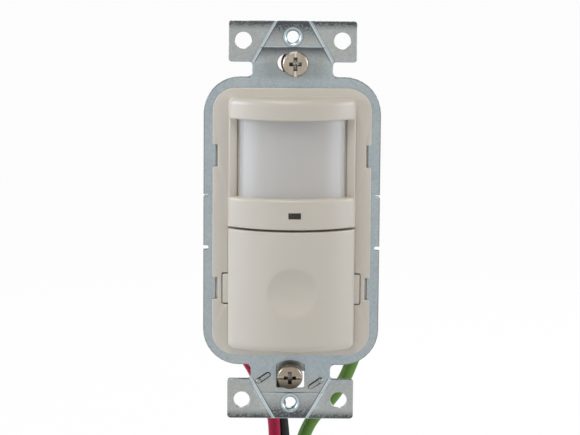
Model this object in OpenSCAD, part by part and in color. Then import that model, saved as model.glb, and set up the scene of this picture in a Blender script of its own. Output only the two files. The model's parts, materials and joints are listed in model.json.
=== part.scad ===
// Motion sensor light switch for a single wall box, face toward -Y, +Z up.
// The origin lies on the wall plane, the back of the strap, half way between the box screws.

/* [Mounting strap] */
// Thickness of the strap sheet
strap_t = 1.5; // [1.2:0.1:1.8]
// Height of the strap over both ears
strap_h = 105.2; // [104:0.1:106.5]
// Width of the strap over an ear
ear_w = 33.2; // [32:0.1:35]
// Height of one ear
ear_h = 10.7; // [9.5:0.1:11]
// Width of the neck between ear and frame
neck_w = 20.9; // [19:0.1:22]
// Width of the strap frame
frame_w = 46; // [45.6:0.1:47]
// Height of the strap frame
frame_h = 76; // [75:0.1:77]
// Outer corner radius of the strap frame
frame_r = 9.5; // [7:0.1:11]
// Width of the strap frame's side rails
side_rail_w = 2.9; // [2.8:0.05:3.1]
// Width of the strap frame's top and bottom rails
end_rail_w = 4.5; // [4.2:0.1:4.6]
// Distance between the two wall-plate screw holes
plate_screw_pitch = 96.8; // [96.4:0.1:97.2]
// Bore of a wall-plate screw hole
tapped_d = 2.9; // [2.7:0.05:3.1]
// Width of the pressed funnel round a wall-plate hole
funnel_d = 4.7; // [4.2:0.1:5.2]
// Length of the collar behind a wall-plate hole
collar_len = 1.3; // [0.8:0.1:1.8]
// Diameter of an ear hole
ear_hole_d = 4.3; // [4:0.1:4.8]
// Distance across between the ear holes
ear_hole_pitch_x = 25.6; // [25:0.1:26.2]
// Distance between the upper and the lower ear holes
ear_hole_pitch_z = 95; // [94:0.1:95.6]
// Width of a score groove
score_w = 1.2; // [0.8:0.1:1.5]
// Depth of a score groove
score_depth = 0.5; // [0.3:0.05:0.7]
// Half height of a bent side tab
side_tab_half_h = 6.8; // [5:0.1:8]
// How far a side tab reaches behind the strap
side_tab_reach = 4; // [3:0.1:5]

/* [Front cover] */
// Width of the strap frame that shows beside the frame plate
shown_rail_w = 2.4; // [2.1:0.05:2.55]
// Height of the strap frame that shows above and below the frame plate
shown_rail_h = 2.65; // [2.3:0.05:3]
// Corner radius of the frame plate
plate_r = 6; // [4:0.1:7]
// Thickness of the frame plate in front of the strap
plate_t = 1; // [0.8:0.05:1.2]
// Width of the frame plate beside the raised face
plate_margin_w = 4.2; // [4.1:0.05:4.4]
// Height of the frame plate above and below the raised face
plate_margin_h = 2.25; // [2.05:0.05:2.45]
// Corner radius of the raised face
face_r = 1.9; // [1.2:0.1:2.6]
// Radius of the crowned front
crown_r = 24.8; // [24:0.1:27]
// How far the crown stands in front of the strap
crown_proud = 9.4; // [9.2:0.1:10]
// Wall of the cover and the button
wall = 1.6; // [1.4:0.1:1.8]
// Height of the top bar
bar_h = 5.6; // [5.1:0.1:6.1]
// Height of the upper edge of the band
band_top_z = 7.1; // [6.8:0.1:7.6]
// Height of the lower edge of the band
band_low_z = -0.7; // [-0.9:0.1:-0.5]
// Height of a notch in the plate edge
edge_notch_h = 5.8; // [5:0.1:6.4]
// Distance of the edge notches above or below the middle
edge_notch_z = 17.5; // [16.5:0.1:18]

/* [Sensor window] */
// Width of a side strip beside the lens opening
side_strip_w = 2.2; // [2.1:0.05:2.4]
// Gap between a side strip and the lens
lens_gap = 0.7; // [0.5:0.05:1]
// Radius of the lens
lens_r = 22; // [21:0.1:23]
// Thickness of the lens sheet
lens_t = 1; // [0.8:0.05:1.2]
// How far the lens lies behind the crown
lens_set_back = 2.5; // [2.2:0.1:2.8]
// Width of the indicator window
led_window_w = 3.15; // [2.6:0.05:3.6]
// Height of the indicator window
led_window_h = 1.5; // [1.2:0.05:1.8]

/* [Button] */
// Gap between the band and the button
button_gap = 0.45; // [0.35:0.05:0.55]
// Travel of the button
button_travel = 0.6; // [0.4:0.05:0.7]
// Diameter of the finger dimple
dimple_d = 12.8; // [11:0.1:14]
// Depth of the finger dimple
dimple_depth = 1.5; // [1.2:0.05:1.6]
// Half height of a button wing
wing_half_h = 3.9; // [3.5:0.1:4.2]
// How far a wing reaches past the face
wing_reach = 1.55; // [1.4:0.05:1.6]
// Clearance round the button and its wings
button_clear = 0.3; // [0.2:0.05:0.35]

/* [Housing] */
// How far the back housing stays inside the sides of the strap frame
housing_inset_w = 1.8; // [1.6:0.05:2]
// How far the back housing stays inside the ends of the strap frame
housing_inset_h = 3.4; // [3:0.1:3.7]
// Depth of the back housing behind the strap
housing_depth = 26; // [25.5:0.1:28]
// Wall of the back housing
housing_wall = 1.8; // [1.6:0.1:2]
// Outer radius of the housing's four long corners
housing_r = 5; // [4:0.1:5]
// Distance of a housing screw from the housing's side
housing_screw_side = 4.6; // [4.5:0.05:4.8]
// Distance of a housing screw from the housing's end
housing_screw_end = 4.4; // [4.2:0.05:4.5]
// Clearance between the control board and the housing's side walls
board_side_clear = 0.6; // [0.5:0.05:0.9]
// Clearance between the control board and the housing's end walls
board_end_clear = 1.3; // [1.1:0.1:1.5]
// Diameter of a housing screw
housing_screw_d = 2.5; // [2.2:0.05:2.6]

/* [Box screws] */
// Distance between the box screws
box_screw_pitch = 83.3; // [83:0.1:83.6]
// Diameter of a box screw
box_screw_d = 3.4; // [3.2:0.05:3.5]
// Diameter of a box screw head
box_head_d = 6.7; // [6.4:0.1:7]
// Height of a box screw head
box_head_h = 1.9; // [1.6:0.1:2.2]
// Diameter of the neck between head and thread
box_neck_d = 2.8; // [2.6:0.1:2.9]
// Length of a box screw under its head
box_screw_len = 16; // [13:0.5:16]
// Lean of the bottom screw, head down
bottom_lean = 10; // [6:1:12]

/* [Leads] */
// Diameter of the red and black leads
lead_d = 3.3; // [3:0.1:3.4]
// Diameter of the green lead
ground_lead_d = 3.6; // [3.2:0.1:3.6]
// Length of the bare end of a lead
bare_len = 10; // [8:1:12]
// Diameter of the bare strands
bare_d = 1.8; // [1.4:0.1:2]

/* [Hidden] */
$fn = 64;
cut = 1;

// Levels along Y, front to back
strap_front = -strap_t;
plate_front = strap_front - plate_t;
crown_y = strap_front - crown_proud + crown_r;
strip_front = plate_front - 1.5;
strip_t = 1.2;
lens_y = strap_front - crown_proud + lens_set_back + lens_r;
lens_foot_t = 1;
lens_foot_back = strip_front + strip_t + lens_foot_t;
deck_front = -4.1;
deck_t = 1.2;
floor_front = -0.3;
floor_back = 1;
board_front = 3.2;
board_t = 1.6;
board_back = board_front + board_t;
housing_inner_y = housing_depth - housing_wall;
power_t = 1.6;
power_back = housing_inner_y - 2.4;
power_front = power_back - power_t;

// Widths and heights that follow from the strap frame
strap_open_w = frame_w - 2 * side_rail_w;
strap_open_h = frame_h - 2 * end_rail_w;
plate_w = frame_w - 2 * shown_rail_w;
plate_h = frame_h - 2 * shown_rail_h;
face_w = plate_w - 2 * plate_margin_w;
face_h = plate_h - 2 * plate_margin_h;
lens_open_half_w = face_w / 2 - side_strip_w;
lens_half_w = lens_open_half_w - lens_gap;
housing_w = frame_w - 2 * housing_inset_w;
housing_h = frame_h - 2 * housing_inset_h;
housing_screw_x = housing_w - 2 * housing_screw_side;
housing_screw_z = housing_h - 2 * housing_screw_end;
room_w = housing_w - 2 * housing_wall;
room_h = housing_h - 2 * housing_wall;

// Levels along Z and half sizes
ear_z = strap_h / 2 - ear_h;
fold_z = ear_z + 3.5;
face_top = face_h / 2;
bar_z = face_top - bar_h;
button_top = band_low_z - button_gap;
button_mid = (button_top - face_top) / 2;
wing_z = -17.5;
top_screw_x = 0.7;
top_screw_z = box_screw_pitch / 2 - 0.15;
bottom_screw_z = 1 - box_screw_pitch / 2;
dimple_x = 0.4;
led_x = 0.8;
led_z = 3;
side_inner = face_w / 2 - wall;
guide_x = face_w / 2 + wing_reach + 0.35;
guide_t = 0.9;
button_wall_back = strap_front + 0.5;
hook_back = board_front - button_travel - 0.4;
hook_t = 1.1;
hook_x = face_w / 2 + wing_reach;
board_w = room_w - 2 * board_side_clear;
board_h = room_h - 2 * board_end_clear;
detector_z = (bar_z + band_top_z) / 2;
can_d = 9.2;
can_h = 4.2;
switch_w = 6.2;
switch_front = board_front - 3.5;
plunger_d = 3.4;
plunger_front = switch_front - 1.3;
dial_d = 5.4;
dial_x = 8.4;
dial_z = 7.5 - face_top;
trimmer_front = board_front - 2.4;
dial_front = deck_front - 0.25;
running = 0.05;
power_h = 52;
power_w = room_w - 2.8;
post_d = 5.4;
lens_top = bar_z + 0.8;
lens_low = band_top_z - 0.8;

// A flat outline in X and Z given thickness toward the front from a level on Y
module slab(y_back, thick) {
  translate([0, y_back, 0]) rotate([90, 0, 0]) linear_extrude(thick) children();
}

// A cylinder along Y between two levels
module rod_y(x, z, d, y0, y1) {
  translate([x, y1, z]) rotate([90, 0, 0]) cylinder(h = y1 - y0, d = d);
}

// A box given by its centre in X and Z, its size there, and two levels on Y
module block_y(x, z, w, h, y0, y1) {
  translate([x - w / 2, y0, z - h / 2]) cube([w, y1 - y0, h]);
}

// A rectangle with round corners
module round_rect(w, h, r) {
  square([w - 2 * r, h], center = true);
  square([w, h - 2 * r], center = true);
  for (sx = [-1, 1], sz = [-1, 1]) translate([sx * (w / 2 - r), sz * (h / 2 - r)]) circle(r = r);
}

// A slot with round ends that runs across
module slot_across(len, w) {
  square([len - w, w], center = true);
  for (s = [-1, 1]) translate([s * (len - w) / 2, 0]) circle(d = w);
}

// The rounding left when a circle is taken out of a corner
module corner_fill(r) {
  difference() {
    square(r);
    translate([r, r]) circle(r = r);
  }
}

// Copies of a child at both ends of the strap
module both_ends() {
  children();
  mirror([0, 0, 1]) children();
}

module both_sides() {
  children();
  mirror([1, 0, 0]) children();
}

// Outline of the strap before its holes
module strap_outline() {
  round_rect(frame_w, frame_h, frame_r);
  for (s = [-1, 1]) scale_flip(s) {
    translate([-neck_w / 2, frame_h / 2 - 4]) square([neck_w, ear_z - frame_h / 2 + 5]);
    translate([0, ear_z + ear_h / 2]) round_rect(ear_w, ear_h, 1);
    for (t = [-1, 1]) translate([t * neck_w / 2, frame_h / 2 - 0.02]) mirror([t < 0 ? 1 : 0, 0])
      corner_fill(1.4);
    for (t = [-1, 1]) translate([t * neck_w / 2, ear_z + 0.02]) mirror([t < 0 ? 1 : 0, 0])
      mirror([0, 1]) corner_fill(0.9);
  }
}

// Mirrors its children down for the lower end
module scale_flip(s) {
  mirror([0, s < 0 ? 1 : 0]) children();
}

// Openings through the strap
module strap_holes() {
  round_rect(strap_open_w, strap_open_h, 3);
  for (sx = [-1, 1], sz = [-1, 1])
    translate([sx * ear_hole_pitch_x / 2, sz * ear_hole_pitch_z / 2]) circle(d = ear_hole_d);
  translate([0, box_screw_pitch / 2]) slot_across(8, 4.6);
  bottom_window();
  for (s = [-1, 1]) translate([s * (frame_w / 2 + 0.3), 0])
    for (t = [-1, 1]) translate([0, t * side_tab_half_h]) round_rect(3, 0.8, 0.3);
  stakes(0.1);
}

// Window for the bottom box screw, with an arched top
module bottom_window() {
  arch_r = 6.8;
  top = -36.95;
  intersection() {
    translate([0, (top - 44.5) / 2]) square([7.4, top + 44.5], center = true);
    translate([0, top - arch_r]) circle(r = arch_r + 0.001);
  }
}

// The two slanted stakes that hold the ground clip
module stakes(clear) {
  for (p = [[-7.15, -41.6], [6.6, -43.1]])
    translate(p) rotate(35) round_rect(4 + 2 * clear, 0.9 + 2 * clear, 0.4);
}

// A V groove in the front of the strap from one point to another
module score(x0, z0, x1, z1) {
  a = atan2(z1 - z0, x1 - x0);
  translate([x0, strap_front, z0]) rotate([0, -a, 0]) rotate([90, 0, 90])
    translate([0, 0, -cut]) linear_extrude(norm([x1 - x0, z1 - z0]) + 2 * cut)
      polygon([[-0.01, -score_w / 2], [-0.01, score_w / 2], [score_depth, 0]]);
}

// Rounds the front edge of an ear or a side tab, along X
module front_edge_cut(z, r, len) {
  translate([-len / 2, strap_front, z]) rotate([90, 0, 90]) linear_extrude(len) difference() {
    translate([-cut, -r]) square([r + cut, r + cut]);
    translate([r, -r]) circle(r = r);
  }
}

module mounting_strap() {
  score_top = strap_h / 2;
  color("lightsteelblue") difference() {
    union() {
      slab(0, strap_t) strap_outline();
      both_ends() rod_y(0, plate_screw_pitch / 2, funnel_d, -0.2, collar_len);
      both_sides() side_tab();
      ground_tongue();
    }
    slab(cut, strap_t + 2 * cut) difference() {
      strap_holes();
      tongue_outline();
    }
    both_ends() {
      rod_y(0, plate_screw_pitch / 2, tapped_d, strap_front - cut, collar_len + cut);
      translate([0, strap_front - 0.01, plate_screw_pitch / 2]) rotate([-90, 0, 0])
        cylinder(h = 0.9, d1 = funnel_d, d2 = tapped_d);
      front_edge_cut(score_top, 1.2, ear_w + 2);
      both_sides() score(4.4, score_top, neck_w / 2, ear_z);
      slab(strap_front + 0.3, cut) polygon([[-4.9, score_top + 1], [4.9, score_top + 1],
        [8.2, fold_z], [-8.2, fold_z]]);
    }
    both_sides() tab_edge_cut();
    rod_y(ground_x, ground_z, rivet_d, strap_front - cut, cut);
  }
}

// Side tab bent back from the rail
module side_tab() {
  translate([frame_w / 2 - strap_t, strap_front + 0.5, -side_tab_half_h + 0.4])
    cube([strap_t, side_tab_reach + strap_t - 0.5, 2 * side_tab_half_h - 0.8]);
}

module tab_edge_cut() {
  r = 1.4;
  half = side_tab_half_h - 0.4;
  translate([frame_w / 2, strap_front, -half]) linear_extrude(2 * half) difference() {
    translate([-r, -cut]) square([r + cut, r + cut]);
    translate([-r, r]) circle(r = r);
  }
}

// Tongue inside the opening that carries the ground terminal
ground_x = 0;
ground_z = -29.5;
rivet_d = 2.4;
module ground_tongue() {
  slab(0, strap_t) tongue_outline();
}

module tongue_outline() {
  translate([ground_x - 3.2, -strap_open_h / 2 - 1]) square([6.4, strap_open_h / 2 + ground_z + 1]);
  translate([ground_x, ground_z]) circle(r = 3.2);
}

// Outline of the raised face, set in by a wall
module face_outline(inset) {
  round_rect(face_w - 2 * inset, face_h - 2 * inset, max(face_r - inset, 0.3));
}

// Section of the crowned face across X and Y: sides and their round front edges
module face_section(inset, y_back) {
  rf = 0.9;
  proud = 0.08;
  half = face_w / 2 - inset;
  r = crown_r - inset;
  cx = half - rf;
  cy = crown_y - sqrt(pow(r - rf + proud, 2) - pow(cx, 2));
  tx = cx * r / (r - rf);
  translate([-half, cy]) square([2 * half, y_back - cy]);
  polygon([[-cx - rf / 2, cy], [cx + rf / 2, cy], [tx, cy - rf / 2], [tx, cy - 14],
    [-tx, cy - 14], [-tx, cy - rf / 2]]);
  for (s = [-1, 1]) translate([s * cx, cy]) circle(r = rf);
}

// Profile of the crown, turned about its upright axis, with round top and bottom edges
module crown_profile(z0, z1, inset, e0, e1) {
  r = crown_r - inset;
  e = max(e0, e1);
  translate([2, z0]) square([r - 2 - e, z1 - z0]);
  translate([2, z0 + e0]) square([r - 2, z1 - z0 - e0 - e1]);
  translate([2, z0]) square([r - 2 - e0, e0 + 0.1]);
  translate([2, z1 - e1 - 0.1]) square([r - 2 - e1, e1 + 0.1]);
  translate([r - e0, z0 + e0]) circle(r = e0);
  translate([r - e1, z1 - e1]) circle(r = e1);
}

// Block of the crowned face between two heights, from its front to a level on Y
module crown_block(z0, z1, inset, e0, e1, y_back) {
  intersection() {
    translate([0, crown_y, 0]) rotate([0, 0, 180]) rotate_extrude(angle = 180)
      crown_profile(z0, z1, inset, e0, e1);
    translate([0, 0, z0 - 1]) linear_extrude(z1 - z0 + 2) face_section(inset, y_back);
    slab(y_back + 0.5, 16) face_outline(inset);
  }
}

// Plate outline with the notches in its side edges
module plate_outline() {
  difference() {
    round_rect(plate_w, plate_h, plate_r);
    for (sx = [-1, 1], sz = [-1, 1])
      translate([sx * plate_w / 2, sz * edge_notch_z]) square([2.8, edge_notch_h], center = true);
  }
}

// Opening for the button with its wings
module button_outline(clear) {
  intersection() {
    face_outline(-clear);
    translate([-face_w, -face_top - 2]) square([2 * face_w, face_top + 2 + button_top + clear]);
  }
  translate([0, wing_z]) round_rect(face_w + 2 * wing_reach + 2 * clear,
    2 * wing_half_h + 2 * clear, 0.8);
}

module front_cover() {
  hollow_top = face_top - wall;
  color("antiquewhite") {
    difference() {
      union() {
        slab(strap_front, plate_t) plate_outline();
        crown_block(bar_z, face_top, 0, 0.4, 1.7, strap_front);
        crown_block(band_low_z, band_top_z, 0, 0.3, 0.6, strap_front);
        both_sides() translate([side_inner, strip_front, band_top_z - 1])
          cube([wall, strap_front - strip_front, bar_z - band_top_z + 2]);
      }
      difference() {
        crown_block(band_low_z + wall, hollow_top, wall, 0.3, 0.3, cut);
        strips();
      }
      slab(0, 4) button_outline(button_clear);
      block_y(led_x, led_z, led_window_w + 2 * running, led_window_h + 2 * running, -13, -6);
      slits();
    }
    strips();
    button_floor();
    dial_deck();
    screw_bosses();
  }
}

// Side strips beside the lens
module strips() {
  both_sides() translate([lens_open_half_w, strip_front, band_top_z - 0.2])
    cube([face_w / 2 - lens_open_half_w - 0.2, strip_t, bar_z - band_top_z + 0.4]);
}

// Slits at the inner side of the edge notches
module slits() {
  for (sx = [-1, 1], sz = [-1, 1])
    translate([sx * (plate_w / 2 - 1.65), 0, sz * edge_notch_z]) block_y(0, 0, 0.5, edge_notch_h - 0.6,
      plate_front - cut, strap_front + cut);
}

// Floor under the button with its guide walls and the openings for the hooks
module button_floor() {
  low = -32.6;
  high = -2.6;
  mid = (low + high) / 2;
  difference() {
    union() {
      intersection() {
        block_y(0, mid, 2 * (guide_x + guide_t), high - low, floor_front, floor_back);
        slab(floor_back + cut, 2) housing_outline(housing_wall + 0.1);
      }
      for (s = [-1, 1]) block_y(s * (guide_x + guide_t / 2), wing_z, guide_t, 15, strap_front - 0.1,
        floor_front + 0.1);
    }
    block_y(0, mid, 2 * (dial_wall_x - 0.6), high - low - 5, floor_front - cut, floor_back + cut);
    for (s = [-1, 1]) block_y(s * (guide_x - 1.35), wing_z, 2.7, 2 * wing_half_h + 2 * button_clear,
      floor_front - cut, floor_back + cut);
    tongue_room();
    screw_bores();
  }
  block_y(0, band_low_z + 0.4, 2 * side_inner, 0.8, strap_front - 0.5, floor_back);
  block_y(0, -1.8, 2 * dial_wall_x, 2.4, floor_front, floor_back);
}

// Inner deck that the dials and the switch plunger look through
dial_wall_x = 13.4;
deck_low = -30.4;
deck_high = -4;
module dial_deck() {
  deck_mid = (deck_low + deck_high) / 2;
  deck_h = deck_high - deck_low;
  difference() {
    block_y(0, deck_mid, 2 * dial_wall_x, deck_h, deck_front, floor_back);
    difference() {
      block_y(0, deck_mid, 2 * (dial_wall_x - 1.2), deck_h - 2.4, deck_front + deck_t,
        floor_back + cut);
    }
    for (s = [-1, 1]) rod_y(s * dial_x, dial_z, dial_d + 0.8, deck_front - cut, deck_front + 3);
    rod_y(dimple_x, button_mid, plunger_d + 1.6, deck_front - cut, deck_front + 3);
    tongue_room();
  }
}

// Room in the cover for the strap's ground tongue
module tongue_room() {
  slab(floor_back + cut, floor_back + cut - strap_front + 0.3)
    translate([ground_x, ground_z - 0.5]) square([7.4, 7.6], center = true);
}

// Bores that the housing screws bite into
module screw_bores() {
  for (sx = [-1, 1], sz = [-1, 1])
    rod_y(sx * housing_screw_x / 2, sz * housing_screw_z / 2, housing_screw_d, 0.2, board_front + cut);
}

// Bosses round these bores
module screw_bosses() {
  for (sx = [-1, 1], sz = [-1, 1]) difference() {
    rod_y(sx * housing_screw_x / 2, sz * housing_screw_z / 2, 4.8,
      sz > 0 ? strap_front - 0.2 : floor_front, board_front);
    screw_bores();
  }
}

module sensor_lens() {
  z_len = lens_top - lens_low;
  foot_half = side_inner - 0.1;
  y_foot = lens_foot_back;
  y_edge = lens_y - sqrt(pow(lens_r, 2) - pow(lens_half_w, 2));
  color("whitesmoke") translate([0, 0, lens_low]) linear_extrude(z_len) {
    difference() {
      translate([0, lens_y]) circle(r = lens_r);
      translate([0, lens_y]) circle(r = lens_r - lens_t);
      translate([-40, y_edge]) square([80, 60]);
      for (s = [-1, 1]) translate([s * (lens_half_w + 20), 0]) square([40, 60], center = true);
    }
    for (s = [-1, 1]) {
      translate([s * (lens_half_w - lens_t / 2) - lens_t / 2, y_edge - 0.6])
        square([lens_t, y_foot - y_edge + 0.6]);
      translate([s * (foot_half + lens_half_w - lens_t) / 2 - (foot_half - lens_half_w + lens_t) / 2,
        y_foot - lens_foot_t]) square([foot_half - lens_half_w + lens_t, lens_foot_t]);
    }
  }
}

// Ring behind the lens that keeps its feet against the strips
module lens_retainer() {
  ring_h = lens_top - lens_low + 1.2;
  mid = (lens_top + lens_low) / 2;
  color("gainsboro") difference() {
    block_y(0, mid, 2 * side_inner - 0.1, ring_h, lens_foot_back, lens_foot_back + 1.2);
    block_y(0, mid, 2 * side_inner - 4.6, ring_h - 4, lens_foot_back - cut, lens_foot_back + 3);
  }
}

// Smoked window that leads light through the band
module indicator_window() {
  inner_y = crown_y - crown_r + wall;
  color("dimgray") {
    intersection() {
      block_y(led_x, led_z, led_window_w, led_window_h, -13, board_front - 1.1);
      translate([0, crown_y, led_z - 2]) cylinder(h = 4, r = crown_r + 0.02);
    }
    block_y(led_x, led_z, led_window_w + 1.4, led_window_h + 1.2, inner_y + 0.35, inner_y + 1.2);
  }
}

// Round finger dimple, taken out of the crown
module dimple(apex) {
  dish_r = 22;
  intersection() {
    translate([dimple_x, apex + dimple_depth - dish_r, button_mid]) sphere(r = dish_r);
    rod_y(dimple_x, button_mid, dimple_d, apex - 2, apex + 3);
  }
}

module push_button() {
  z0 = -face_top;
  dish_y = strap_front - crown_proud;
  color("antiquewhite") {
    difference() {
      crown_block(z0, button_top, 0, 1.5, 0.35, button_wall_back);
      crown_block(z0 + wall, button_top - wall, wall, 0.5, 0.3, button_wall_back + cut);
      dimple(dish_y);
      block_y(ground_x, z0 + wall / 2, 7.4, wall + 1, strap_front - button_travel - 0.2, cut);
    }
    rod_y(dimple_x, button_mid, plunger_d, dish_y + dimple_depth + 0.8, plunger_front - 0.05);
    difference() {
      rod_y(dimple_x, button_mid, dimple_d + 2, dish_y + 1.3, dish_y + dimple_depth + 1.2);
      dimple(dish_y);
    }
    both_sides() button_wing();
  }
}

// Wing at the plate's level with the hook that keeps the button in
module button_wing() {
  wing_t = 1;
  root = side_inner + 0.2;
  slab(plate_front + wing_t, wing_t) translate([root, wing_z - wing_half_h]) wing_outline(hook_x - root);
  block_y(hook_x - hook_t / 2, wing_z, hook_t, 4, plate_front + wing_t - 0.1, hook_back);
  block_y(hook_x + 0.25, wing_z, 1.1, 4, floor_back + 0.1, hook_back);
}

module wing_outline(reach) {
  r = 0.7;
  square([reach - r, 2 * wing_half_h]);
  translate([0, r]) square([reach, 2 * wing_half_h - 2 * r]);
  for (z = [r, 2 * wing_half_h - r]) translate([reach - r, z]) circle(r = r);
}

// Housing walls as an outline, set in by a wall
module housing_outline(inset) {
  round_rect(housing_w - 2 * inset, housing_h - 2 * inset, housing_r - inset);
}

module back_housing() {
  color("gray") {
    difference() {
      slab(housing_depth, housing_depth) housing_outline(0);
      slab(housing_inner_y, housing_inner_y + cut) housing_outline(housing_wall);
      housing_screw_holes(housing_screw_d + 0.5);
      lead_holes();
      both_sides() back_edge_cut();
    }
    difference() {
      for (sx = [-1, 1], sz = [-1, 1]) rod_y(sx * housing_screw_x / 2, sz * housing_screw_z / 2,
        post_d, board_back, housing_inner_y + 0.1);
      housing_screw_holes(housing_screw_d + 0.5);
    }
    for (sx = [-1, 1], sz = [-1, 1])
      rod_y(sx * 15, sz * 22, 4, power_back, housing_inner_y + 0.1);
    for (p = lead_exits) lead_collar(p);
  }
}

// Bevel along the long back edges
module back_edge_cut() {
  b = 1.5;
  translate([housing_w / 2, housing_depth, -housing_h]) linear_extrude(2 * housing_h)
    polygon([[-b, 0.01], [0.01, -b], [1, -b], [1, 1], [-b, 1]]);
}

// Clearance holes and countersinks for the housing screws
module housing_screw_holes(d) {
  for (sx = [-1, 1], sz = [-1, 1]) {
    rod_y(sx * housing_screw_x / 2, sz * housing_screw_z / 2, d, board_back - cut, housing_depth + cut);
    translate([sx * housing_screw_x / 2, housing_depth + 0.01, sz * housing_screw_z / 2])
      rotate([90, 0, 0]) cylinder(h = 1.3, d1 = screw_head_d + 0.3, d2 = d);
  }
}

// Where each lead leaves the housing: X, Y and its diameter
lead_exits = [[-12.4, 13, lead_d], [-5.6, 17, lead_d], [17.8, 21, ground_lead_d]];
collar_z = -housing_h / 2 - 0.8;
module lead_holes() {
  for (p = lead_exits) translate([p[0], p[1], collar_z - cut])
    cylinder(h = housing_wall + 3, d = p[2] - 0.6);
}

module lead_collar(p) {
  translate([p[0], p[1], collar_z]) difference() {
    cylinder(h = 2.5, d = p[2] + 1.2);
    translate([0, 0, -cut]) cylinder(h = 4, d = p[2] - 0.6);
  }
}

screw_head_d = 4.8;
neck_len = 2.8;
module housing_screws() {
  color("silver") for (sx = [-1, 1], sz = [-1, 1])
    translate([sx * housing_screw_x / 2, 0, sz * housing_screw_z / 2]) difference() {
      union() {
        rod_y(0, 0, housing_screw_d, 0.2, housing_depth - 0.1);
        translate([0, housing_depth - 0.05, 0]) rotate([90, 0, 0])
          cylinder(h = 1.15, d1 = screw_head_d, d2 = housing_screw_d);
      }
      for (a = [0, 90]) rotate([0, a, 0]) block_y(0, 0, 0.7, 2.6, housing_depth - 0.9,
        housing_depth + cut);
    }
}

module control_board() {
  color("darkgreen") slab(board_back, board_t) difference() {
    round_rect(board_w, board_h, 2);
    for (sx = [-1, 1], sz = [-1, 1])
      translate([sx * housing_screw_x / 2, sz * housing_screw_z / 2]) circle(d = housing_screw_d + 0.5);
  }
}

module detector_can() {
  color("silver") difference() {
    union() {
      rod_y(0, detector_z, can_d, board_front - can_h, board_front);
      rod_y(0, detector_z, can_d + 0.9, board_front - 0.5, board_front);
    }
    block_y(0, detector_z, 4.2, 3.2, board_front - can_h - cut, board_front - can_h + 0.4);
  }
}

module detector_filter() {
  color("darkslategray")
    block_y(0, detector_z, 4.1, 3.1, board_front - can_h + 0.05, board_front - can_h + 0.4);
}

module detector_shroud() {
  front = lens_foot_back + 1.25;
  color("black") difference() {
    rod_y(0, detector_z, can_d + 4, front + 0.5, board_front);
    rod_y(0, detector_z, can_d + 1.1, front - cut, board_front + cut);
  }
}

module indicator_lamp() {
  color("palegreen") block_y(led_x - 0.9, led_z, 1.2, 1, board_front - 1, board_front);
}

module light_sensor() {
  color("khaki") block_y(led_x + 0.8, led_z, 1.2, 1.2, board_front - 1, board_front);
}

module controller_chip() {
  color("black") block_y(3, 16, 7, 7, board_back, board_back + 1.1);
}

module switch_body() {
  color("dimgray") difference() {
    block_y(dimple_x, button_mid, switch_w, switch_w, switch_front, board_front);
    rod_y(dimple_x, button_mid, plunger_d + 2 * running, switch_front - cut, board_front - 0.6);
  }
}

module switch_plunger() {
  color("black") rod_y(dimple_x, button_mid, plunger_d, plunger_front, board_front - 0.65 - button_travel);
}

// Body of a trimmer on the board
module trimmer(x) {
  difference() {
    block_y(x, dial_z, 6.8, 6.8, trimmer_front, board_front);
    rod_y(x, dial_z, 1.6 + 2 * running, trimmer_front - cut, board_front - 0.4);
  }
}

// Dial with a screwdriver slot and a pointer cut
module dial(x) {
  difference() {
    union() {
      rod_y(x, dial_z, dial_d, dial_front, trimmer_front);
      rod_y(x, dial_z, 1.6, trimmer_front - 0.1, board_front - 0.5);
    }
    block_y(x, dial_z, 0.9, 4, dial_front - cut, dial_front + 0.9);
    block_y(x, dial_z + 1.9, 1.8, 1.1, dial_front - cut, dial_front + 0.5);
  }
}

module time_trimmer() { color("royalblue") trimmer(-dial_x); }
module light_trimmer() { color("royalblue") trimmer(dial_x); }
module time_dial() { color("ivory") dial(-dial_x); }
module light_dial() { color("ivory") dial(dial_x); }

// Pin strip that joins the two boards
module board_link() {
  link_x = board_w / 2 - 2.8;
  color("black") block_y(link_x, 1, 2.5, 15.2, board_back, board_back + 2.5);
  color("gold") for (k = [0:5])
    block_y(link_x, 1 + (k - 2.5) * 2.54, 0.64, 0.64, board_back + 2.4, power_front);
}

module power_board() {
  color("peru") slab(power_back, power_t) round_rect(power_w, power_h, 1.5);
}

module relay() {
  color("black") {
    block_y(-8.8, -3, 12.4, 28.6, power_front - 13.6, power_front - 0.4);
    block_y(-8.8, -3, 11.4, 27.6, power_front - 0.5, power_front);
  }
}

module smoothing_capacitor() {
  color("darkslateblue") rod_y(6, 19.5, 8, power_front - 12, power_front);
}

module film_capacitor() {
  color("goldenrod") block_y(-9, 18.5, 13, 7, power_front - 10.5, power_front);
}

module transformer() {
  color("khaki") {
    block_y(6.8, 1, 13.4, 14, power_front - 3, power_front);
    block_y(6.8, 1, 9.6, 10, power_front - 9, power_front - 2.9);
    block_y(6.8, 1, 13.4, 14, power_front - 12, power_front - 8.9);
  }
}

module surge_disc() {
  color("cornflowerblue") translate([3.5, power_front - 4.5, -15.5]) rotate([0, 90, 0])
    cylinder(h = 3.6, d = 9);
}

module fuse() {
  color("linen") translate([7, power_front - 1.8, -22]) rotate([0, 90, 0]) cylinder(h = 9, d = 3.6);
}

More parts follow.
